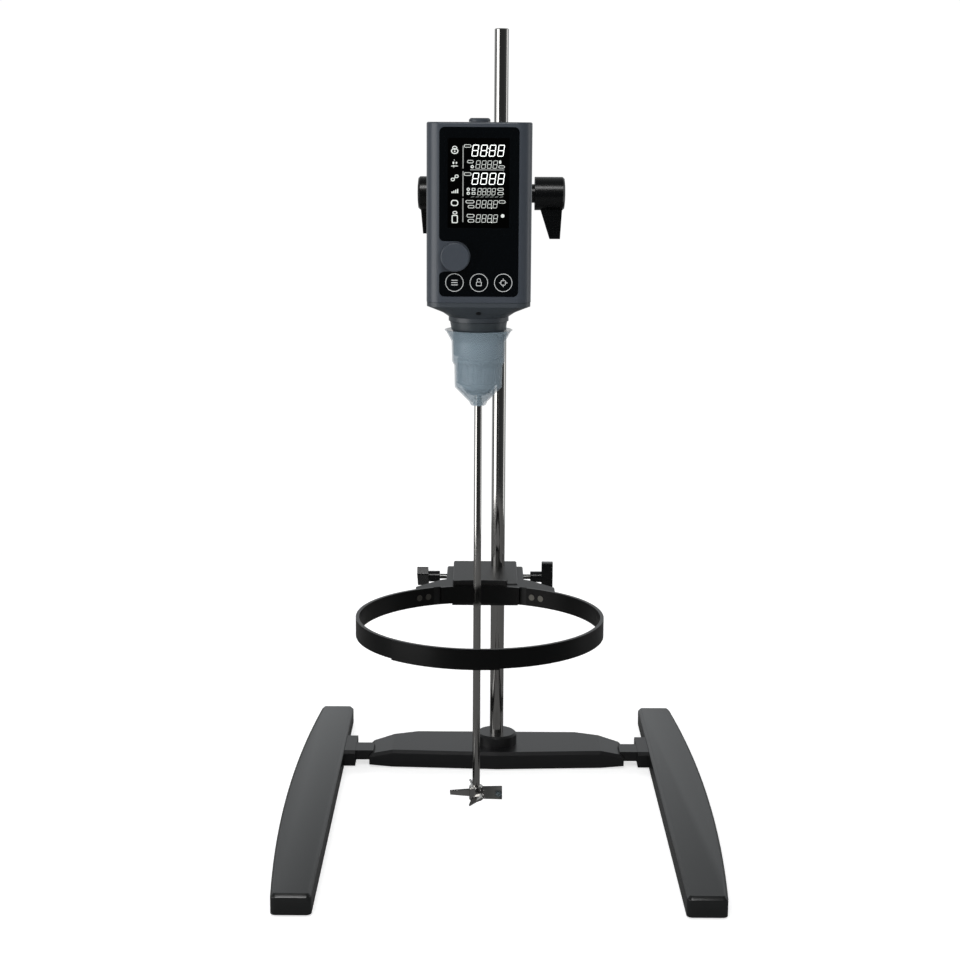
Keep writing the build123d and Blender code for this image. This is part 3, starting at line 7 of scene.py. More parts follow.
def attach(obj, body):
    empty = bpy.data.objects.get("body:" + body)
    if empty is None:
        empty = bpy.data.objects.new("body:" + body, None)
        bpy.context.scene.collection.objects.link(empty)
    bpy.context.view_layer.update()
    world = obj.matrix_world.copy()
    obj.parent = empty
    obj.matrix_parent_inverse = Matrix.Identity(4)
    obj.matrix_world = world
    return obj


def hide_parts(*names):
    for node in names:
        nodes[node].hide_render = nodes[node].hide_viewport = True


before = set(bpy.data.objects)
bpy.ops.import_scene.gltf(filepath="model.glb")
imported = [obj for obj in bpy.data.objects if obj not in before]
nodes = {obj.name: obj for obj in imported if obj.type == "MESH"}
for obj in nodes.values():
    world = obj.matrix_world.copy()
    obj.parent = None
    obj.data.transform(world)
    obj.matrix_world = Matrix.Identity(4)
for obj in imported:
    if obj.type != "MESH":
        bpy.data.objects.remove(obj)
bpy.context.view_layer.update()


# Feet
# Two long feet, straight inside and bowed outside, with a broad slope round the top.
# They are metal castings, painted satin grey, and screws from below hold them to the cross beam.
mm = 0.001
grain_octaves = 3
grain_height = 0.04
noise_middle = 0.5
sharp_from = 28

foot_inner = 158.0
foot_end = 192.6
foot_widest = 204.1
foot_half_length = 257.5
foot_corner = 5.0
bow_margin = 6.0
bow_steps = 60
foot_corner_steps = 8
foot_wall_low = 2.0
foot_wall_high = 16.8
# Each step goes in by the first number and outwards from the face by the second.
foot_top_steps = ((0.08, 0.3), (0.14, 0.2), (2.53, 2.5), (0.2, 0.15), (0.35, 0.05))
foot_sole_steps = ((0.12, 0.38), (0.38, 0.12))


def srgb(red, green, blue):
    """A paint colour from 0 to 255 as the linear colour that a shader takes."""
    channels = [value / 255 for value in (red, green, blue)]
    return [c / 12.92 if c < 0.04045 else ((c + 0.055) / 1.055) ** 2.4 for c in channels] + [1]


def add_math(tree, operation, *constants):
    """A Math node. Its constants go into the sockets after the first."""
    node = tree.nodes.new("ShaderNodeMath")
    node.operation = operation
    for k, value in enumerate(constants):
        node.inputs[k + 1].default_value = value
    return node


def make_grain_group():
    """Fine grain of a moulded, painted or ground surface: uneven gloss and a slight relief."""
    tree = bpy.data.node_groups.new("surface_grain", "ShaderNodeTree")
    for name, value in (("Scale", 900), ("Roughness", 0.4), ("Spread", 0.06), ("Relief", 0.1)):
        socket = tree.interface.new_socket(name, in_out="INPUT", socket_type="NodeSocketFloat")
        socket.default_value = value
    tree.interface.new_socket("Roughness", in_out="OUTPUT", socket_type="NodeSocketFloat")
    tree.interface.new_socket("Normal", in_out="OUTPUT", socket_type="NodeSocketVector")
    inside = tree.nodes.new("NodeGroupInput")
    outside = tree.nodes.new("NodeGroupOutput")
    place = tree.nodes.new("ShaderNodeTexCoord")
    noise = tree.nodes.new("ShaderNodeTexNoise")
    noise.inputs["Detail"].default_value = grain_octaves
    centred = add_math(tree, "SUBTRACT", noise_middle)
    gloss = add_math(tree, "MULTIPLY_ADD")
    bump = tree.nodes.new("ShaderNodeBump")
    bump.inputs["Distance"].default_value = grain_height * mm
    link = tree.links.new
    link(place.outputs["Object"], noise.inputs["Vector"])
    link(inside.outputs["Scale"], noise.inputs["Scale"])
    link(noise.outputs["Fac"], centred.inputs[0])
    link(centred.outputs[0], gloss.inputs[0])
    link(inside.outputs["Spread"], gloss.inputs[1])
    link(inside.outputs["Roughness"], gloss.inputs[2])
    link(inside.outputs["Relief"], bump.inputs["Strength"])
    link(noise.outputs["Fac"], bump.inputs["Height"])
    link(gloss.outputs[0], outside.inputs["Roughness"])
    link(bump.outputs["Normal"], outside.inputs["Normal"])
    return tree


grain_group = make_grain_group()


def new_material(name, colour, roughness, metallic=0.0, scale=900, spread=0.06, relief=0.1):
    """A finish with its own grain. One with neither spread nor relief is even all over."""
    material = bpy.data.materials.new(name)
    material.use_nodes = True
    tree = material.node_tree
    shader = tree.nodes["Principled BSDF"]
    shader.inputs["Base Color"].default_value = srgb(*colour)
    shader.inputs["Metallic"].default_value = metallic
    shader.inputs["Roughness"].default_value = roughness
    if spread or relief:
        grain = tree.nodes.new("ShaderNodeGroup")
        grain.node_tree = grain_group
        grain.inputs["Scale"].default_value = scale
        grain.inputs["Roughness"].default_value = roughness
        grain.inputs["Spread"].default_value = spread
        grain.inputs["Relief"].default_value = relief
        tree.links.new(grain.outputs["Roughness"], shader.inputs["Roughness"])
        tree.links.new(grain.outputs["Normal"], shader.inputs["Normal"])
    return material


def dress(material, slot, *names):
    """Give pieces of the frame their finish."""
    for name in names:
        node = nodes[name]
        node.data.materials.clear()
        node.data.materials.append(material)


def place_piece(bm, name, material, body, smooth=False):
    """Turn a finished bmesh into a piece that rides on a body."""
    bmesh.ops.recalc_face_normals(bm, faces=bm.faces)
    for face in bm.faces:
        face.smooth = smooth
    mesh = bpy.data.meshes.new(name)
    bm.to_mesh(mesh)
    bm.free()
    piece = bpy.data.objects.new(name, mesh)
    bpy.context.scene.collection.objects.link(piece)
    mesh.materials.append(material)
    if smooth:
        mesh.set_sharp_from_angle(angle=math.radians(sharp_from))
    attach(piece, body)
    return piece


def foot_outline():
    """Plan of the right foot: the bowed side from front to back, then its four round corners."""
    bow = foot_widest - foot_end
    bow_radius = (foot_half_length ** 2 + bow ** 2) / (2 * bow)
    reach = foot_half_length - bow_margin
    points = []
    for k in range(bow_steps + 1):
        y = -reach + 2 * reach * k / bow_steps
        points.append((foot_widest - bow_radius + math.sqrt(bow_radius ** 2 - y ** 2), y))
    outer_x = points[0][0] - foot_corner
    inner_x = foot_inner + foot_corner
    end_y = foot_half_length - foot_corner
    for x, y, start in ((outer_x, end_y, 0), (inner_x, end_y, 90),
                        (inner_x, -end_y, 180), (outer_x, -end_y, 270)):
        for k in range(foot_corner_steps + 1):
            a = math.radians(start + 90 * k / foot_corner_steps)
            points.append((x + foot_corner * math.cos(a), y + foot_corner * math.sin(a)))
    return points


def make_foot(name, node, side):
    """Raise the plan to the wall's height, then step in at the top and at the sole."""
    bm = bmesh.new()
    sole = bm.faces.new([bm.verts.new((x * mm, y * mm, foot_wall_low * mm)) for x, y in foot_outline()])
    raised = bmesh.ops.extrude_face_region(bm, geom=[sole])["geom"]
    top_verts = [part for part in raised if isinstance(part, bmesh.types.BMVert)]
    bmesh.ops.translate(bm, verts=top_verts, vec=(0, 0, (foot_wall_high - foot_wall_low) * mm))
    bmesh.ops.recalc_face_normals(bm, faces=bm.faces)
    top = max(bm.faces, key=lambda face: face.calc_center_median().z)
    sole = min(bm.faces, key=lambda face: face.calc_center_median().z)
    for face, steps in ((top, foot_top_steps), (sole, foot_sole_steps)):
        for inwards, outwards in steps:
            bmesh.ops.inset_region(bm, faces=[face], thickness=inwards * mm, depth=outwards * mm,
                                   use_boundary=True, use_even_offset=True)
    bmesh.ops.scale(bm, verts=bm.verts, vec=(side, 1, 1))
    foot = place_piece(bm, name, foot_paint, "stand", smooth=True)
    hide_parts(node)


foot_paint = new_material("satin_foot_paint", (24, 25, 25), 0.25, scale=1400)
dress(foot_paint, "foot_paint", "foot_left", "foot_right")
make_foot("left_foot_casting", "foot_left", -1)
make_foot("right_foot_casting", "foot_right", 1)


# Foot pads
# Round pads that keep the stand from sliding on the bench.
# They are moulded in dull black rubber, and each is let into the underside of a foot.
pad_rubber = new_material("pad_rubber", (18, 18, 18), 0.75, scale=2000, relief=0.3)
dress(pad_rubber, "pad_rubber", "foot_pads")


# Cross beam
# The bar between the feet: a wide block under the rod, slim necks, and tongues in the feet.
# It is cast in metal with sloping ends, and painted satin black.
beam_paint = new_material("beam_paint", (20, 20, 21), 0.33, scale=1400, relief=0.15)
dress(beam_paint, "beam_paint", "cross_beam")


# Screws and studs
# The screws of the base and of the head, and the studs that the knobs turn.
# They are turned in zinc-plated steel. The strap's flat screws are a little darker and warmer.
screw_steel = new_material("screw_steel", (130, 130, 128), 0.3, metallic=1, spread=0.1)
dress(screw_steel, "screw_steel", "beam_screws", "rod_bolt", "rod_clamp_screw", "arm_clamp_screw",
      "housing_screws", "flange_screws", "propeller_screw", "bracket_screw_right", "bracket_screw_left")
strap_screw_steel = new_material("strap_screw_steel", (120, 118, 112), 0.35, metallic=1)
dress(strap_screw_steel, "strap_screw", "strap_screws")


# Stand rod and support arm
# The upright rod, bolted from below into the beam, and the head's arm that crosses it.
# Both are bright drawn stainless steel, polished.
rod_steel = new_material("rod_steel", (200, 198, 195), 0.08, metallic=1, spread=0.02, relief=0)
dress(rod_steel, "rod_steel", "stand_rod", "support_arm")


# Boss head clamp
# The block that holds the arm to the rod, with one bore for each, crossed.
# It is a metal casting with a fine powder coat.
clamp_paint = new_material("clamp_paint", (26, 27, 28), 0.4, relief=0.3)
dress(clamp_paint, "clamp_paint", "clamp_body")


# Lever knobs and wing knobs
# The two ribbed levers of the clamp, and the two small knobs of the strap's bracket.
# They are moulded in hard black plastic, glossy on the hub, over steel studs.
knob_plastic = new_material("knob_plastic", (5, 6, 7), 0.27, relief=0.08)
dress(knob_plastic, "knob_plastic", "rod_clamp_knob", "arm_clamp_knob",
      "bracket_knob_right", "bracket_knob_left")


# Drive
# Motor shaft, pinion, large gear and hollow spindle, and the shaft of the control knob.
# They are cut in steel and left bare. The bearings are ground brighter.
gear_steel = new_material("gear_steel", (140, 138, 132), 0.3, metallic=1)
dress(gear_steel, "gear_steel", "spindle", "drive_gear", "motor_shaft", "pinion", "encoder_shaft")
bearing_steel = new_material("bearing_steel", (150, 150, 150), 0.2, metallic=1)
dress(bearing_steel, "bearing_steel", "upper_bearing", "lower_bearing")


# Motor and its plate
# A closed motor can with cooling grooves, on a flat plate above the gears.
# The can is drawn steel with a dark finish, and the plate is plain milled metal.
plate_metal = new_material("plate_metal", (140, 140, 138), 0.45, metallic=1)
dress(plate_metal, "plate_metal", "motor_plate")
motor_metal = new_material("motor_metal", (90, 90, 92), 0.4, metallic=1)
dress(motor_metal, "motor_metal", "motor_can")


# Control board
# The printed board behind the display, with the encoder that the knob turns and pushes.
# It is green coated glass fibre on short posts, and the encoder's case is grey plastic.
board_green = new_material("board", (18, 60, 38), 0.45)
dress(board_green, "board", "control_board")
encoder_grey = new_material("encoder", (60, 62, 60), 0.4)
dress(encoder_grey, "encoder", "encoder_body")


# Head
# The housing in two shells, its round knob, the plug over the bore and the arm's flange.
# They are moulded in blue-grey plastic with a fine satin grain and screwed together from behind.
case_plastic = new_material("case_plastic", (63, 68, 75), 0.31, scale=2600, relief=0.2)
dress(case_plastic, "case_plastic", "front_shell", "rear_shell", "rotary_knob", "bore_plug", "arm_flange")


# Bottom cover and neck
# The gearbox cover that closes the housing, and the ring below it that carries the guard.
# The cover is die-cast and painted to match the case. The neck is moulded and darker.
cover_metal = new_material("cover_metal", (60, 65, 70), 0.36, relief=0.2)
dress(cover_metal, "cover_metal", "bottom_cover")
neck_plastic = new_material("neck_plastic", (56, 62, 66), 0.36, relief=0.2)
dress(neck_plastic, "neck_plastic", "neck_collar")


# Power switch and inlet
# The rocker in its frame, and the round low voltage inlet, both at the back of the head.
# They are moulded in black plastic and snapped or screwed into the rear shell.
switch_plastic = new_material("switch_plastic", (14, 14, 14), 0.35)
dress(switch_plastic, "switch_plastic", "switch_frame", "switch_rocker", "power_inlet")


# Front panel and display
# One sheet of black glass over the whole front, bonded into its seat, with the display behind.
# The display is a dark module whose marks show only where they are lit.
panel_glass = new_material("panel_glass", (3, 5, 7), 0.12, spread=0.02, relief=0)
dress(panel_glass, "panel_glass", "bezel_panel")
display_black = new_material("display", (1, 1, 1), 0.3)
dress(display_black, "display", "display_module")


# Lit digits
# The two large rows of segment digits, with the colon and the points.
# They are lit marks that show through the glass, made as a thin film on its face.
panel_front = -101.8
film_depth = 0.03
print_depth = 0.02
glow_roughness = 0.5
digit_lean = 0.147
segment_gap = 0.12
digits_in_row = 4
dot_radius = 0.4
dot_steps = 12
dots = ((-12.6, 635.8), (-13.5, 632.4), (-9.6, 584.9), (-9.5, 572.7))
# Foot of the row, height and width of a digit, pitch, left edge, and width of a segment.
large_rows = ((628.9, 10.0, 5.5, 7.39, -27.5, 0.7), (605.0, 10.1, 5.5, 7.39, -27.3, 0.7))


def new_glow(name, colour, strength):
    """A printed mark that also shines a little by itself."""
    material = bpy.data.materials.new(name)
    material.use_nodes = True
    shader = material.node_tree.nodes["Principled BSDF"]
    shader.inputs["Base Color"].default_value = srgb(*colour)
    shader.inputs["Roughness"].default_value = glow_roughness
    shader.inputs["Emission Color"].default_value = srgb(*colour)
    shader.inputs["Emission Strength"].default_value = strength
    return material


def flat_face(bm, points):
    """A flat mark on the panel through points in its front view."""
    bm.faces.new([bm.verts.new((x * mm, panel_front * mm, z * mm)) for x, z in points])


def stroke(bm, start, end, width):
    """A segment with pointed ends from one point to another."""
    ax, az = start
    bx, bz = end
    length = math.hypot(bx - ax, bz - az)
    ux, uz = (bx - ax) / length, (bz - az) / length
    cap = width / 2
    nx, nz = -uz * cap, ux * cap
    flat_face(bm, [(ax, az), (ax + ux * cap + nx, az + uz * cap + nz),
                   (bx - ux * cap + nx, bz - uz * cap + nz), (bx, bz),
                   (bx - ux * cap - nx, bz - uz * cap - nz), (ax + ux * cap - nx, az + uz * cap - nz)])


def ellipse(x, z, half_width, half_height, steps=28):
    """Points round an ellipse."""
    turns = [2 * math.pi * k / steps for k in range(steps)]
    return [(x + half_width * math.cos(a), z + half_height * math.sin(a)) for a in turns]


def digit(bm, x, z, width, height, line):
    """A leaning figure with all its seven segments lit."""
    low, middle, high = line / 2, height / 2, height - line / 2
    left, right = line / 2, width - line / 2
    gap = line * segment_gap

    def at(u, v):
        return x + u + digit_lean * v, z + v

    for v in (low, middle, high):
        stroke(bm, at(left + gap, v), at(right - gap, v), line)
    for u in (left, right):
        stroke(bm, at(u, low + gap), at(u, middle - gap), line)
        stroke(bm, at(u, middle + gap), at(u, high - gap), line)


def write_digits(bm, rows):
    """Rows of four figures."""
    for z, height, width, pitch, left, line in rows:
        for k in range(digits_in_row):
            digit(bm, left + pitch * k, z, width, height, line)


def thicken(bm, depth):
    """Give flat marks their thickness, towards the front."""
    raised = bmesh.ops.extrude_face_region(bm, geom=bm.faces[:])["geom"]
    front = [part for part in raised if isinstance(part, bmesh.types.BMVert)]
    bmesh.ops.translate(bm, verts=front, vec=(0, -depth * mm, 0))


marks = bmesh.new()
write_digits(marks, large_rows)
for x, z in dots:
    flat_face(marks, ellipse(x, z, dot_radius, dot_radius, dot_steps))
thicken(marks, film_depth)
lit = new_glow("lit_segments", (235, 238, 235), 0.9)
place_piece(marks, "display_digits", lit, "head")


# Lit tags
# The four small rows of digits, and the outlined tags and round marks that stand beside all rows.
# They are lit more softly than the large digits.

# Foot of the row, height and width of a digit, pitch, left edge, and width of a segment.
small_rows = ((618.7, 6.8, 3.7, 4.92, -23.9, 0.42), (596.0, 6.0, 3.2, 4.08, -22.3, 0.38),
              (584.9, 6.8, 3.7, 4.92, -23.6, 0.42), (572.6, 6.9, 3.7, 4.92, -23.5, 0.42))
# Left, right, foot and top of each tag.
tag_places = ((-33.8, -27.5, 636.4, 639.1), (-31.0, -25.4, 623.2, 625.8), (-4.0, 1.4, 618.9, 621.4),
              (-33.8, -27.3, 612.5, 615.4), (-4.7, 0.6, 599.8, 602.2), (-4.7, 0.6, 596.2, 598.8),
              (-32.2, -24.6, 589.0, 591.7), (-30.3, -24.6, 584.8, 587.5), (-3.7, 2.3, 589.0, 591.7),
              (-31.3, -24.5, 576.9, 579.8), (-30.3, -24.6, 572.6, 575.5))
tag_side, tag_edge = 0.55, 0.45
tag_outer_trim, tag_inner_trim = 0.05, 0.52
ring_places = ((-26.6, 620.2), (-29.9, 601.0), (-29.9, 597.6))
ring_outer, ring_hole = (1.45, 1.4), (0.65, 0.6)
box_heights = (600.9, 597.6)
box_outer, box_hole = (-26.9, -23.8, 1.15, 0.3), (-26.3, -24.4, 0.65, 0.2)
solid_marks = ((-2.6, 624.2, 1.1, 1.5), (-0.1, 578.3, 1.6, 1.6))


def flat_ring(bm, outer, hole):
    """A flat mark between two outlines with as many points."""
    rings = [[bm.verts.new((x * mm, panel_front * mm, z * mm)) for x, z in loop] for loop in (outer, hole)]
    for k in range(len(outer)):
        n = (k + 1) % len(outer)
        bm.faces.new([rings[0][k], rings[0][n], rings[1][n], rings[1][k]])


def round_box(left, right, low, high, radius, steps=6):
    """Points round a rectangle with round corners."""
    points = []
    for x, z, start in ((right - radius, high - radius, 0), (left + radius, high - radius, 90),
                        (left + radius, low + radius, 180), (right - radius, low + radius, 270)):
        for k in range(steps + 1):
            a = math.radians(start + 90 * k / steps)
            points.append((x + radius * math.cos(a), z + radius * math.sin(a)))
    return points


tags = bmesh.new()
write_digits(tags, small_rows)
for left, right, low, high in tag_places:
    half = (high - low) / 2
    flat_ring(tags, round_box(left, right, low, high, half - tag_outer_trim),
              round_box(left + tag_side, right - tag_side, low + tag_edge, high - tag_edge,
                        half - tag_inner_trim))
for x, z in ring_places:
    flat_ring(tags, ellipse(x, z, *ring_outer), ellipse(x, z, *ring_hole))
for z in box_heights:
    outline, opening = [round_box(left, right, z - half, z + half, radius)
                        for left, right, half, radius in (box_outer, box_hole)]
    flat_ring(tags, outline, opening)
for x, z, half_width, half_height in solid_marks:
    flat_face(tags, ellipse(x, z, half_width, half_height))
thicken(tags, film_depth)
soft_lit = new_glow("lit_tags", (190, 194, 190), 0.52)
place_piece(tags, "display_tags", soft_lit, "head")


# Lit lines
# Three upright lines that part the icons from the digits, a level line, and a row of short dashes.
# They are the dimmest marks of the display.
line_left, line_right = -34.95, -34.05
line_end = 0.3
upright_spans = ((618.6, 638.0), (595.0, 616.4), (572.9, 593.3))
level_line = (-28.4, 1.0, 617.25, 617.95)
dash_count = 7
dash_left, dash_pitch = -27.8, 4.15
dash_points = ((0, 594.1), (2.9, 594.5), (3.2, 594.95), (0.3, 594.55))

lines = bmesh.new()
for low, high in upright_spans:
    flat_face(lines, round_box(line_left, line_right, low, high, line_end))
flat_face(lines, round_box(*level_line, line_end))
for k in range(dash_count):
    flat_face(lines, [(dash_left + dash_pitch * k + x, z) for x, z in dash_points])
thicken(lines, film_depth)
dim_lit = new_glow("lit_lines", (120, 122, 120), 0.7)
place_piece(lines, "display_lines", dim_lit, "head")


# Lit icons
# One sign for each row, at the left: a padlock, a level, two wheels, steps, a loop and a bottle.
# They are lit as softly as the tags.
icon_x = -41.7
# Centre, half width and half height, and those of the hole.
oval_icons = ((icon_x, 633.4, 3.2, 2.5, 2.3, 1.7), (icon_x, 636.1, 2.2, 1.7, 1.4, 1.0),
              (-43.3, 609.3, 1.8, 1.5, 1.0, 0.8), (-40.0, 612.0, 1.8, 1.5, 1.0, 0.8),
              (-41.4, 580.9, 2.1, 1.5, 1.3, 0.8))
# Centre, half width, half height and number of points.
spot_icons = ((icon_x, 633.2, 0.7, 0.7, 12), (-42.1, 625.8, 0.4, 0.4, 14),
              (-42.8, 623.4, 0.8, 1.1, 14), (-40.2, 623.4, 0.7, 0.9, 14))
# From, to, and width.
stroke_icons = (((-44.8, 620.7), (-38.8, 620.7), 0.7), ((-42.4, 619.4), (-42.4, 621.6), 0.7),
                ((-42.8, 609.7), (-40.4, 611.6), 0.8))
# Outline and hole, each as left, right, foot, top and corner.
box_icons = (((-44.9, -38.5, 586.6, 591.9, 2.2), (-44.0, -39.4, 587.5, 591.0, 1.5)),
             ((-44.2, -38.8, 571.9, 579.0, 1.2), (-43.3, -39.7, 572.8, 578.1, 0.7)))
step_heights = (1.4, 2.2, 3.0, 3.6)
step_left, step_width, step_pitch, step_foot, step_corner = -44.4, 1.0, 1.6, 597.6, 0.2

icons = bmesh.new()
for x, z, half_width, half_height, hole_width, hole_height in oval_icons:
    flat_ring(icons, ellipse(x, z, half_width, half_height), ellipse(x, z, hole_width, hole_height))
for x, z, half_width, half_height, steps in spot_icons:
    flat_face(icons, ellipse(x, z, half_width, half_height, steps))
for start, end, width in stroke_icons:
    stroke(icons, start, end, width)
for outline, opening in box_icons:
    flat_ring(icons, round_box(*outline), round_box(*opening))
for k, height in enumerate(step_heights):
    left = step_left + step_pitch * k
    flat_face(icons, round_box(left, left + step_width, step_foot, step_foot + height, step_corner))
thicken(icons, film_depth)
place_piece(icons, "display_icons", soft_lit, "head")


# Touch keys
# Three rings under the display, with a list, a padlock and a target in them.
# They are printed on the glass in pale grey, and light up a little when the head is on.
key_height = 520.6
key_places = (-41.65, -20.35, 0.85)
key_outer, key_inner, key_steps = 7.95, 7.4, 64
list_half, list_rise, list_width = 2.95, 2.0, 0.7
lock_body = ((-22.8, -17.9, 517.6, 521.4, 0.6), (-22.2, -18.5, 518.2, 520.8, 0.3))
lock_bow_height, lock_bow, lock_bow_hole = 522.6, (1.7, 1.9), (1.1, 1.2)
target_outer, target_hole = 2.6, 2.0
tick_start, tick_end, tick_width = 1.2, 3.8, 0.6

keys = bmesh.new()
list_x, lock_x, target_x = key_places
for x in key_places:
    flat_ring(keys, ellipse(x, key_height, key_outer, key_outer, key_steps),
              ellipse(x, key_height, key_inner, key_inner, key_steps))
for z in (key_height - list_rise, key_height, key_height + list_rise):
    stroke(keys, (list_x - list_half, z), (list_x + list_half, z), list_width)
outline, opening = lock_body
flat_ring(keys, round_box(*outline), round_box(*opening))
flat_ring(keys, ellipse(lock_x, lock_bow_height, *lock_bow),
          ellipse(lock_x, lock_bow_height, *lock_bow_hole))
flat_ring(keys, ellipse(target_x, key_height, target_outer, target_outer),
          ellipse(target_x, key_height, target_hole, target_hole))
for degrees in (0, 90, 180, 270):
    c, s = math.cos(math.radians(degrees)), math.sin(math.radians(degrees))
    stroke(keys, (target_x + tick_start * c, key_height + tick_start * s),
           (target_x + tick_end * c, key_height + tick_end * s), tick_width)
thicken(keys, print_depth)
key_print = new_glow("key_print", (170, 172, 172), 0.35)
place_piece(keys, "touch_keys", key_print, "head")


# Display window
# The darker field of the display behind the glass.
# It is a black film bonded behind the panel, duller than the glass, and shown here on its face.
window_outline = (-47.7, 5.4, 567.9, 644.5, 0.5)
window_depth = 0.01
window_gloss = 0.05

window = bmesh.new()
flat_face(window, round_box(*window_outline))
thicken(window, window_depth)
film = new_material("window_film", (0, 0, 0), 0.5, relief=0)
film.node_tree.nodes["Principled BSDF"].inputs["Specular IOR Level"].default_value = window_gloss
place_piece(window, "display_window", film, "head")


# Cover screw hole
# The mouth of the small hole in the front of the bottom cover, with a screw deep inside.
# Its shade is painted: a shallow black disc let into the cover's slope stands for the dark inside the hole.
hole_radius, hole_depth, hole_steps = 2.3, 0.6, 32
hole_place = (-20.5 * mm, -92.95 * mm, 492.8 * mm)
hole_lean = 146

hole = bmesh.new()
bmesh.ops.create_cone(hole, cap_ends=True, segments=hole_steps, radius1=hole_radius * mm,
                      radius2=hole_radius * mm, depth=hole_depth * mm)
lean = Matrix.Rotation(math.radians(hole_lean), 4, "X")
bmesh.ops.transform(hole, matrix=Matrix.Translation(hole_place) @ lean, verts=hole.verts)
# Painted shade: this black stands in for the shadow inside the hole.
hole_painted_shade = new_material("painted_hole_shade", (2, 2, 2), 0.6, relief=0)
place_piece(hole, "cover_hole_painted_shade", hole_painted_shade, "head")


# Chuck
# The chuck under the spindle: a coned body, a fluted sleeve, and three jaws that grip the shaft.
# Body and sleeve are turned steel with a dull dark finish, and the jaws are ground bright.
chuck_metal = new_material("chuck_metal", (95, 97, 100), 0.35, metallic=1)
dress(chuck_metal, "chuck_metal", "chuck_body", "chuck_sleeve")
jaw_steel = new_material("jaw_steel", (120, 120, 120), 0.3, metallic=1)
dress(jaw_steel, "jaw_steel", "chuck_jaw_1", "chuck_jaw_2", "chuck_jaw_3")


# Stirring shaft and propeller
# The long shaft that the jaws grip, and the four-bladed propeller that a grub screw holds on it.
# Both are polished stainless steel.
shaft_steel = new_material("shaft_steel", (196, 194, 191), 0.1, metallic=1, spread=0.02, relief=0)
dress(shaft_steel, "shaft_steel", "stirring_shaft", "propeller")


# Splash guard
# A thin cup round the chuck: flared rim, two stepped walls, a cone, and a nose round the shaft.
# It is moulded in soft milky plastic, is pushed up over the neck, and pulls off downwards.
head_x, spindle_y = -20.5, -57.0
guard_opacity = 0.41
guard_steps = 96
weld_distance = 1e-7
# Radius and height, up the outside and down the inside.
guard_profile = ((5.6, 406.0), (6.6, 406.4), (8.2, 409.6), (20.9, 422.6), (21.3, 423.4), (21.75, 442.6),
                 (22.1, 443.4), (23.4, 445.6), (23.75, 446.4), (24.25, 464.2), (24.5, 465.0), (28.9, 473.3),
                 (30.55, 474.7), (30.2, 474.98), (29.3, 474.98), (23.2, 465.3), (23.05, 464.2),
                 (22.55, 446.6), (22.2, 445.9), (20.9, 443.6), (20.55, 442.6), (20.1, 423.6), (7.0, 410.1),
                 (4.6, 408.4), (4.6, 406.0))

guard_plastic = new_material("guard_plastic", (156, 175, 187), 0.24, spread=0, relief=0)
guard_plastic.node_tree.nodes["Principled BSDF"].inputs["Alpha"].default_value = guard_opacity
dress(guard_plastic, "guard_plastic", "splash_guard")
cup = bmesh.new()
profile = [cup.verts.new(((head_x + radius) * mm, spindle_y * mm, z * mm)) for radius, z in guard_profile]
edges = [cup.edges.new((vert, profile[(k + 1) % len(profile)])) for k, vert in enumerate(profile)]
bmesh.ops.spin(cup, geom=profile + edges, cent=(head_x * mm, spindle_y * mm, 0), axis=(0, 0, 1),
               angle=2 * math.pi, steps=guard_steps, use_merge=True, use_duplicate=False)
bmesh.ops.remove_doubles(cup, verts=cup.verts, dist=weld_distance)
guard = place_piece(cup, "guard_cup", guard_plastic, "guard", smooth=True)
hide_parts("splash_guard")


# Strap clamp
# A bracket that grips the rod, and a strap screwed to it that closes to a ring in front.
# The bracket is moulded in black plastic. The strap, its free end and the pad are black rubber.
bracket_plastic = new_material("bracket_plastic", (13, 13, 13), 0.42, relief=0.2)
dress(bracket_plastic, "bracket_plastic", "strap_bracket")
strap_gloss = 0.32
strap_rubber = new_material("strap_rubber", (3, 3, 3), 0.3, relief=0.12)
strap_rubber.node_tree.nodes["Principled BSDF"].inputs["Specular IOR Level"].default_value = strap_gloss
dress(strap_rubber, "strap_rubber", "strap_band", "strap_tail", "vessel_pad")


# Studio floor
# A round pale floor that fades into the white surround and keeps the stand's shadow.
# It shines for the camera and through clear pieces, and is dimmed where metal mirrors it.
floor_radius, floor_steps = 1.3, 96
floor_white = (0.72, 0.72, 0.72, 1)
floor_dark = (0.02, 0.02, 0.02, 1)
floor_glow = 0.62
mirror_dimming = 0.8

floor = bmesh.new()
bmesh.ops.create_circle(floor, cap_ends=True, radius=floor_radius, segments=floor_steps)
floor_mesh = bpy.data.meshes.new("floor")
floor.to_mesh(floor_mesh)
floor.free()
floor_piece = bpy.data.objects.new("floor", floor_mesh)
bpy.context.scene.collection.objects.link(floor_piece)
floor_paint = bpy.data.materials.new("floor_paint")
floor_paint.use_nodes = True
floor_mesh.materials.append(floor_paint)
tree = floor_paint.node_tree
tree.nodes.remove(tree.nodes["Principled BSDF"])
ray = tree.nodes.new("ShaderNodeLightPath")
lit_floor = tree.nodes.new("ShaderNodeBsdfDiffuse")
lit_floor.inputs["Color"].default_value = floor_white
mirrored_floor = tree.nodes.new("ShaderNodeBsdfDiffuse")
mirrored_floor.inputs["Color"].default_value = floor_dark
mirrored = add_math(tree, "MULTIPLY", mirror_dimming)
surface = tree.nodes.new("ShaderNodeMixShader")
seen = add_math(tree, "MAXIMUM")
shine = add_math(tree, "MULTIPLY", floor_glow)
glow = tree.nodes.new("ShaderNodeEmission")
both = tree.nodes.new("ShaderNodeAddShader")
link = tree.links.new
link(ray.outputs["Is Glossy Ray"], mirrored.inputs[0])
link(mirrored.outputs[0], surface.inputs[0])
link(lit_floor.outputs[0], surface.inputs[1])
link(mirrored_floor.outputs[0], surface.inputs[2])
link(ray.outputs["Is Camera Ray"], seen.inputs[0])
link(ray.outputs["Is Transmission Ray"], seen.inputs[1])
link(seen.outputs[0], shine.inputs[0])
link(shine.outputs[0], glow.inputs["Strength"])
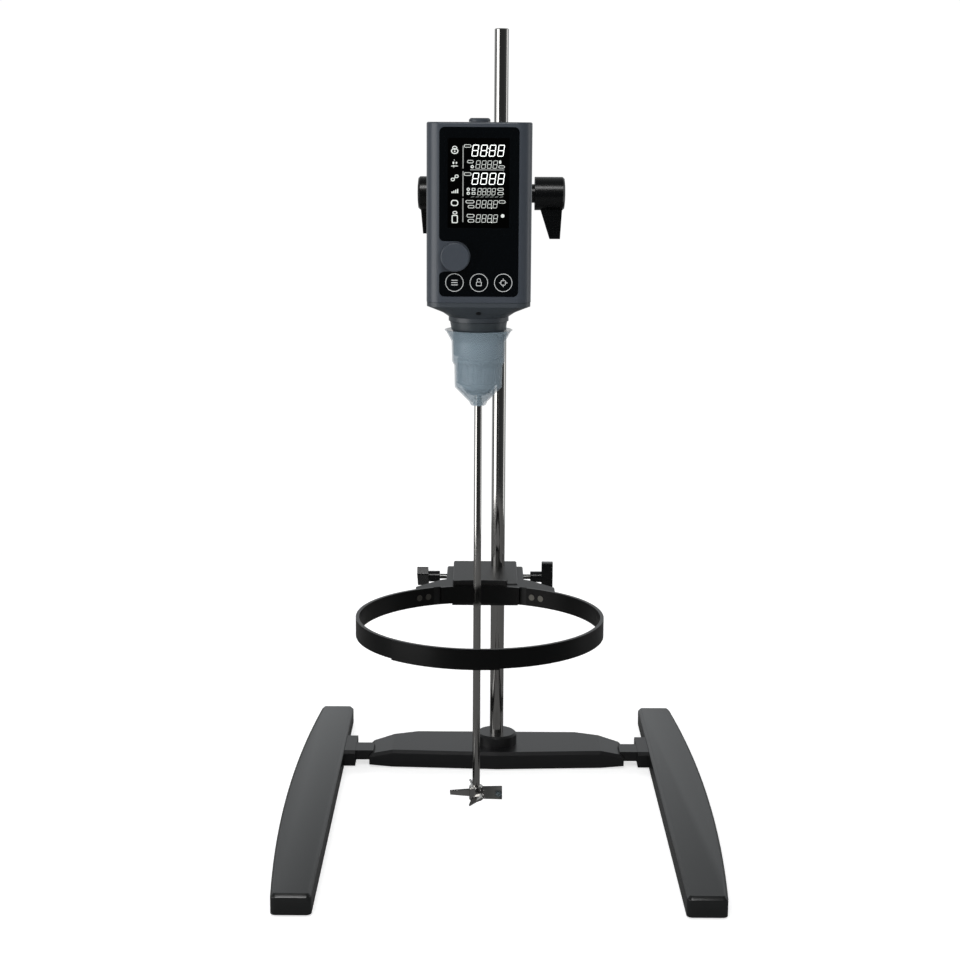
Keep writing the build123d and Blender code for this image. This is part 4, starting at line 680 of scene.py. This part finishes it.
link(surface.outputs[0], both.inputs[0])
link(glow.outputs[0], both.inputs[1])
link(both.outputs[0], tree.nodes["Material Output"].inputs["Surface"])


# Studio surround
# A white backdrop for the camera and through clear pieces.
# For all other light it is a soft room, dark in front and brighter behind the stand.
backdrop_strength = 1.02
room_tint = (0.95, 0.98, 1.0, 1)
room_front, room_back = 0.04, 0.62
room_fall = 2.6

world = bpy.data.worlds.new("studio")
bpy.context.scene.world = world
world.use_nodes = True
tree = world.node_tree
tree.nodes.clear()
backdrop = tree.nodes.new("ShaderNodeBackground")
backdrop.inputs["Color"].default_value = (1, 1, 1, 1)
backdrop.inputs["Strength"].default_value = backdrop_strength
room = tree.nodes.new("ShaderNodeBackground")
room.inputs["Color"].default_value = room_tint
place = tree.nodes.new("ShaderNodeTexCoord")
parts = tree.nodes.new("ShaderNodeSeparateXYZ")
backward = add_math(tree, "MULTIPLY_ADD", 0.5, 0.5)
fall = add_math(tree, "POWER", room_fall)
tone = tree.nodes.new("ShaderNodeMapRange")
tone.inputs["To Min"].default_value = room_front
tone.inputs["To Max"].default_value = room_back
ray = tree.nodes.new("ShaderNodeLightPath")
seen = add_math(tree, "MAXIMUM")
choice = tree.nodes.new("ShaderNodeMixShader")
out = tree.nodes.new("ShaderNodeOutputWorld")
link = tree.links.new
link(place.outputs["Generated"], parts.inputs[0])
link(parts.outputs["Y"], backward.inputs[0])
link(backward.outputs[0], fall.inputs[0])
link(fall.outputs[0], tone.inputs["Value"])
link(tone.outputs[0], room.inputs["Strength"])
link(ray.outputs["Is Camera Ray"], seen.inputs[0])
link(ray.outputs["Is Transmission Ray"], seen.inputs[1])
link(seen.outputs[0], choice.inputs[0])
link(room.outputs[0], choice.inputs[1])
link(backdrop.outputs[0], choice.inputs[2])
link(choice.outputs[0], out.inputs["Surface"])


# Studio lamps
# Soft boxes on stands: a tall one at the left, one above, a narrow one at the right, two fills.
# The fills are kept out of reflections, so that only the boxes draw stripes on rod and shaft.
lamp_target = Vector((0, 0, 0.4))


def softbox(name, bearing, distance, height, width, tall, power, mirrored=True):
    """A rectangular lamp at a bearing from the front, aimed at the middle of the stand."""
    lamp = bpy.data.lights.new(name, "AREA")
    lamp.shape = "RECTANGLE"
    lamp.size = width
    lamp.size_y = tall
    lamp.energy = power
    piece = bpy.data.objects.new(name, lamp)
    bpy.context.scene.collection.objects.link(piece)
    a = math.radians(bearing)
    spot = Vector((distance * math.sin(a), -distance * math.cos(a), height))
    aim = (lamp_target - spot).to_track_quat("-Z", "Y").to_matrix().to_4x4()
    piece.matrix_world = Matrix.Translation(spot) @ aim
    piece.visible_camera = False
    piece.visible_glossy = mirrored


softbox("tall_lamp", -62, 3.0, 0.5, 2.3, 3.4, 60)
softbox("top_lamp", -10, 2.6, 3.2, 1.6, 1.0, 46)
softbox("side_lamp", 104, 2.8, 0.5, 0.9, 2.6, 8)
softbox("front_fill", 12, 3.4, 1.5, 2.0, 1.6, 52, mirrored=False)
softbox("back_fill", 190, 3.6, 2.2, 2.4, 1.6, 60, mirrored=False)


# Camera
# It stands 1.7 m in front, as high as the top of the head, and looks down a little.
# Its place, tilt and lens give the head-on view with both feet in the frame.
camera_place = (-0.015587, -1.711474, 0.655842)
camera_dip, camera_turn, camera_roll = 10.9085, 0.0993, 0.3252
camera_lens, camera_film = 69.157, 36

lens = bpy.data.cameras.new("camera")
lens.lens = camera_lens
lens.sensor_width = camera_film
camera = bpy.data.objects.new("camera", lens)
bpy.context.scene.collection.objects.link(camera)
camera.matrix_world = (Matrix.Translation(camera_place) @ Matrix.Rotation(math.radians(camera_turn), 4, "Z")
                       @ Matrix.Rotation(math.radians(90 - camera_dip), 4, "X")
                       @ Matrix.Rotation(math.radians(camera_roll), 4, "Z"))
bpy.context.scene.camera = camera
bpy.context.scene.view_settings.view_transform = "Standard"
